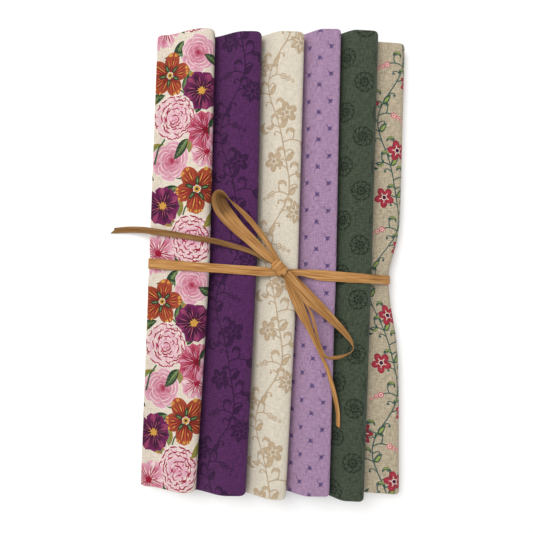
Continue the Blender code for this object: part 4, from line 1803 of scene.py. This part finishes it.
def build_tie():
    """The band, the knot, the two loops and the two tails."""
    band = ribbon_mesh("raffia_band", band_frames(), 1, BAND_PLEATS, closed=True)
    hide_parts("tie_band")
    knot = build_knot()
    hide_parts("tie_knot")
    for name, node, spots, seed in (
        ("raffia_loop_upper", "bow_upper", UPPER_LOOP, 2),
        ("raffia_loop_lower", "bow_lower", LOWER_LOOP, 3),
    ):
        frames = route_frames(spots, cupped=node == "bow_upper")
        loop = ribbon_mesh(name, frames, seed, LOOP_PLEATS, tint=LOOP_TINT)
        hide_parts(node)
    for name, node, spots, seed, tint, cut in (
        ("raffia_tail_left", "tail_left", LEFT_TAIL, 4, 0.5, 5.0),
        ("raffia_tail_low", "tail_low", LOW_TAIL, 6, 0.92, 1.2),
    ):
        tail = ribbon_mesh(name, route_frames(spots), seed, TAIL_PLEATS, tint=tint, cut=cut)
        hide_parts(node)


# The room: a pale floor, soft light and the camera above the bundle.
CAMERA_HEIGHT = 335.0
CAMERA_ROLL = math.radians(1.8)
LENS = 35.0


SENSOR = 36.0
FLOOR_SIDE = 2.0
FLOOR_UNDER = 0.0002
SKY_LIGHT = 0.70
KEY_PLACE = (-0.50, 0.42, 1.05)
KEY_SIZE = 0.8
KEY_ENERGY = 9.6
KEY_COLOUR = (1.0, 0.99, 0.975)
WHITE_PAINT = (1.0, 1.0, 1.0, 1.0)


def add_key():
    """A broad soft light from the upper left, aimed at the bundle."""
    light = bpy.data.lights.new("key", "AREA")
    light.size = KEY_SIZE
    light.energy = KEY_ENERGY
    light.color = KEY_COLOUR
    lamp = add_object("key", light)
    lamp.location = KEY_PLACE
    lamp.rotation_euler = (-Vector(KEY_PLACE)).to_track_quat("-Z", "Y").to_euler()


def add_camera():
    data = bpy.data.cameras.new("camera")
    data.lens = LENS
    data.sensor_width = SENSOR
    camera = add_object("camera", data)
    camera.location = to_row((0.0, 0.0, CAMERA_HEIGHT))
    camera.rotation_euler = (0.0, 0.0, CAMERA_ROLL)
    bpy.context.scene.camera = camera


def build_room():
    add_camera()
    mesh = bpy.data.meshes.new("floor")
    ways = ((-1, -1), (1, -1), (1, 1), (-1, 1))
    mesh.from_pydata([(x * FLOOR_SIDE, y * FLOOR_SIDE, -FLOOR_UNDER) for x, y in ways], [], [(0, 1, 2, 3)])
    mesh.materials.append(new_material("floor", {"Base Color": WHITE_PAINT, "Roughness": 0.9})[0])
    floor = add_object("floor", mesh)
    world = bpy.data.worlds.new("world")
    world.use_nodes = True
    wired(world.node_tree, world.node_tree.nodes["Background"], {"Color": WHITE_PAINT, "Strength": SKY_LIGHT})
    bpy.context.scene.world = world
    add_key()
    bpy.context.scene.view_settings.view_transform = "Standard"


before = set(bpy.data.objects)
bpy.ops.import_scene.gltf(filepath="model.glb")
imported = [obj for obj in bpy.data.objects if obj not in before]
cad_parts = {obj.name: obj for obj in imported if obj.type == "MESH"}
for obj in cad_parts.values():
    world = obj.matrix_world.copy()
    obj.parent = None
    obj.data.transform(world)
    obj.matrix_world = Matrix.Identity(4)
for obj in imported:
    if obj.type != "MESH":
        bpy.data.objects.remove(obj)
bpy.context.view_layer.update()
build_room()
build_tie()
for strip_index, strip in enumerate(STRIPS):
    cloth = build_cloth(strip_index)
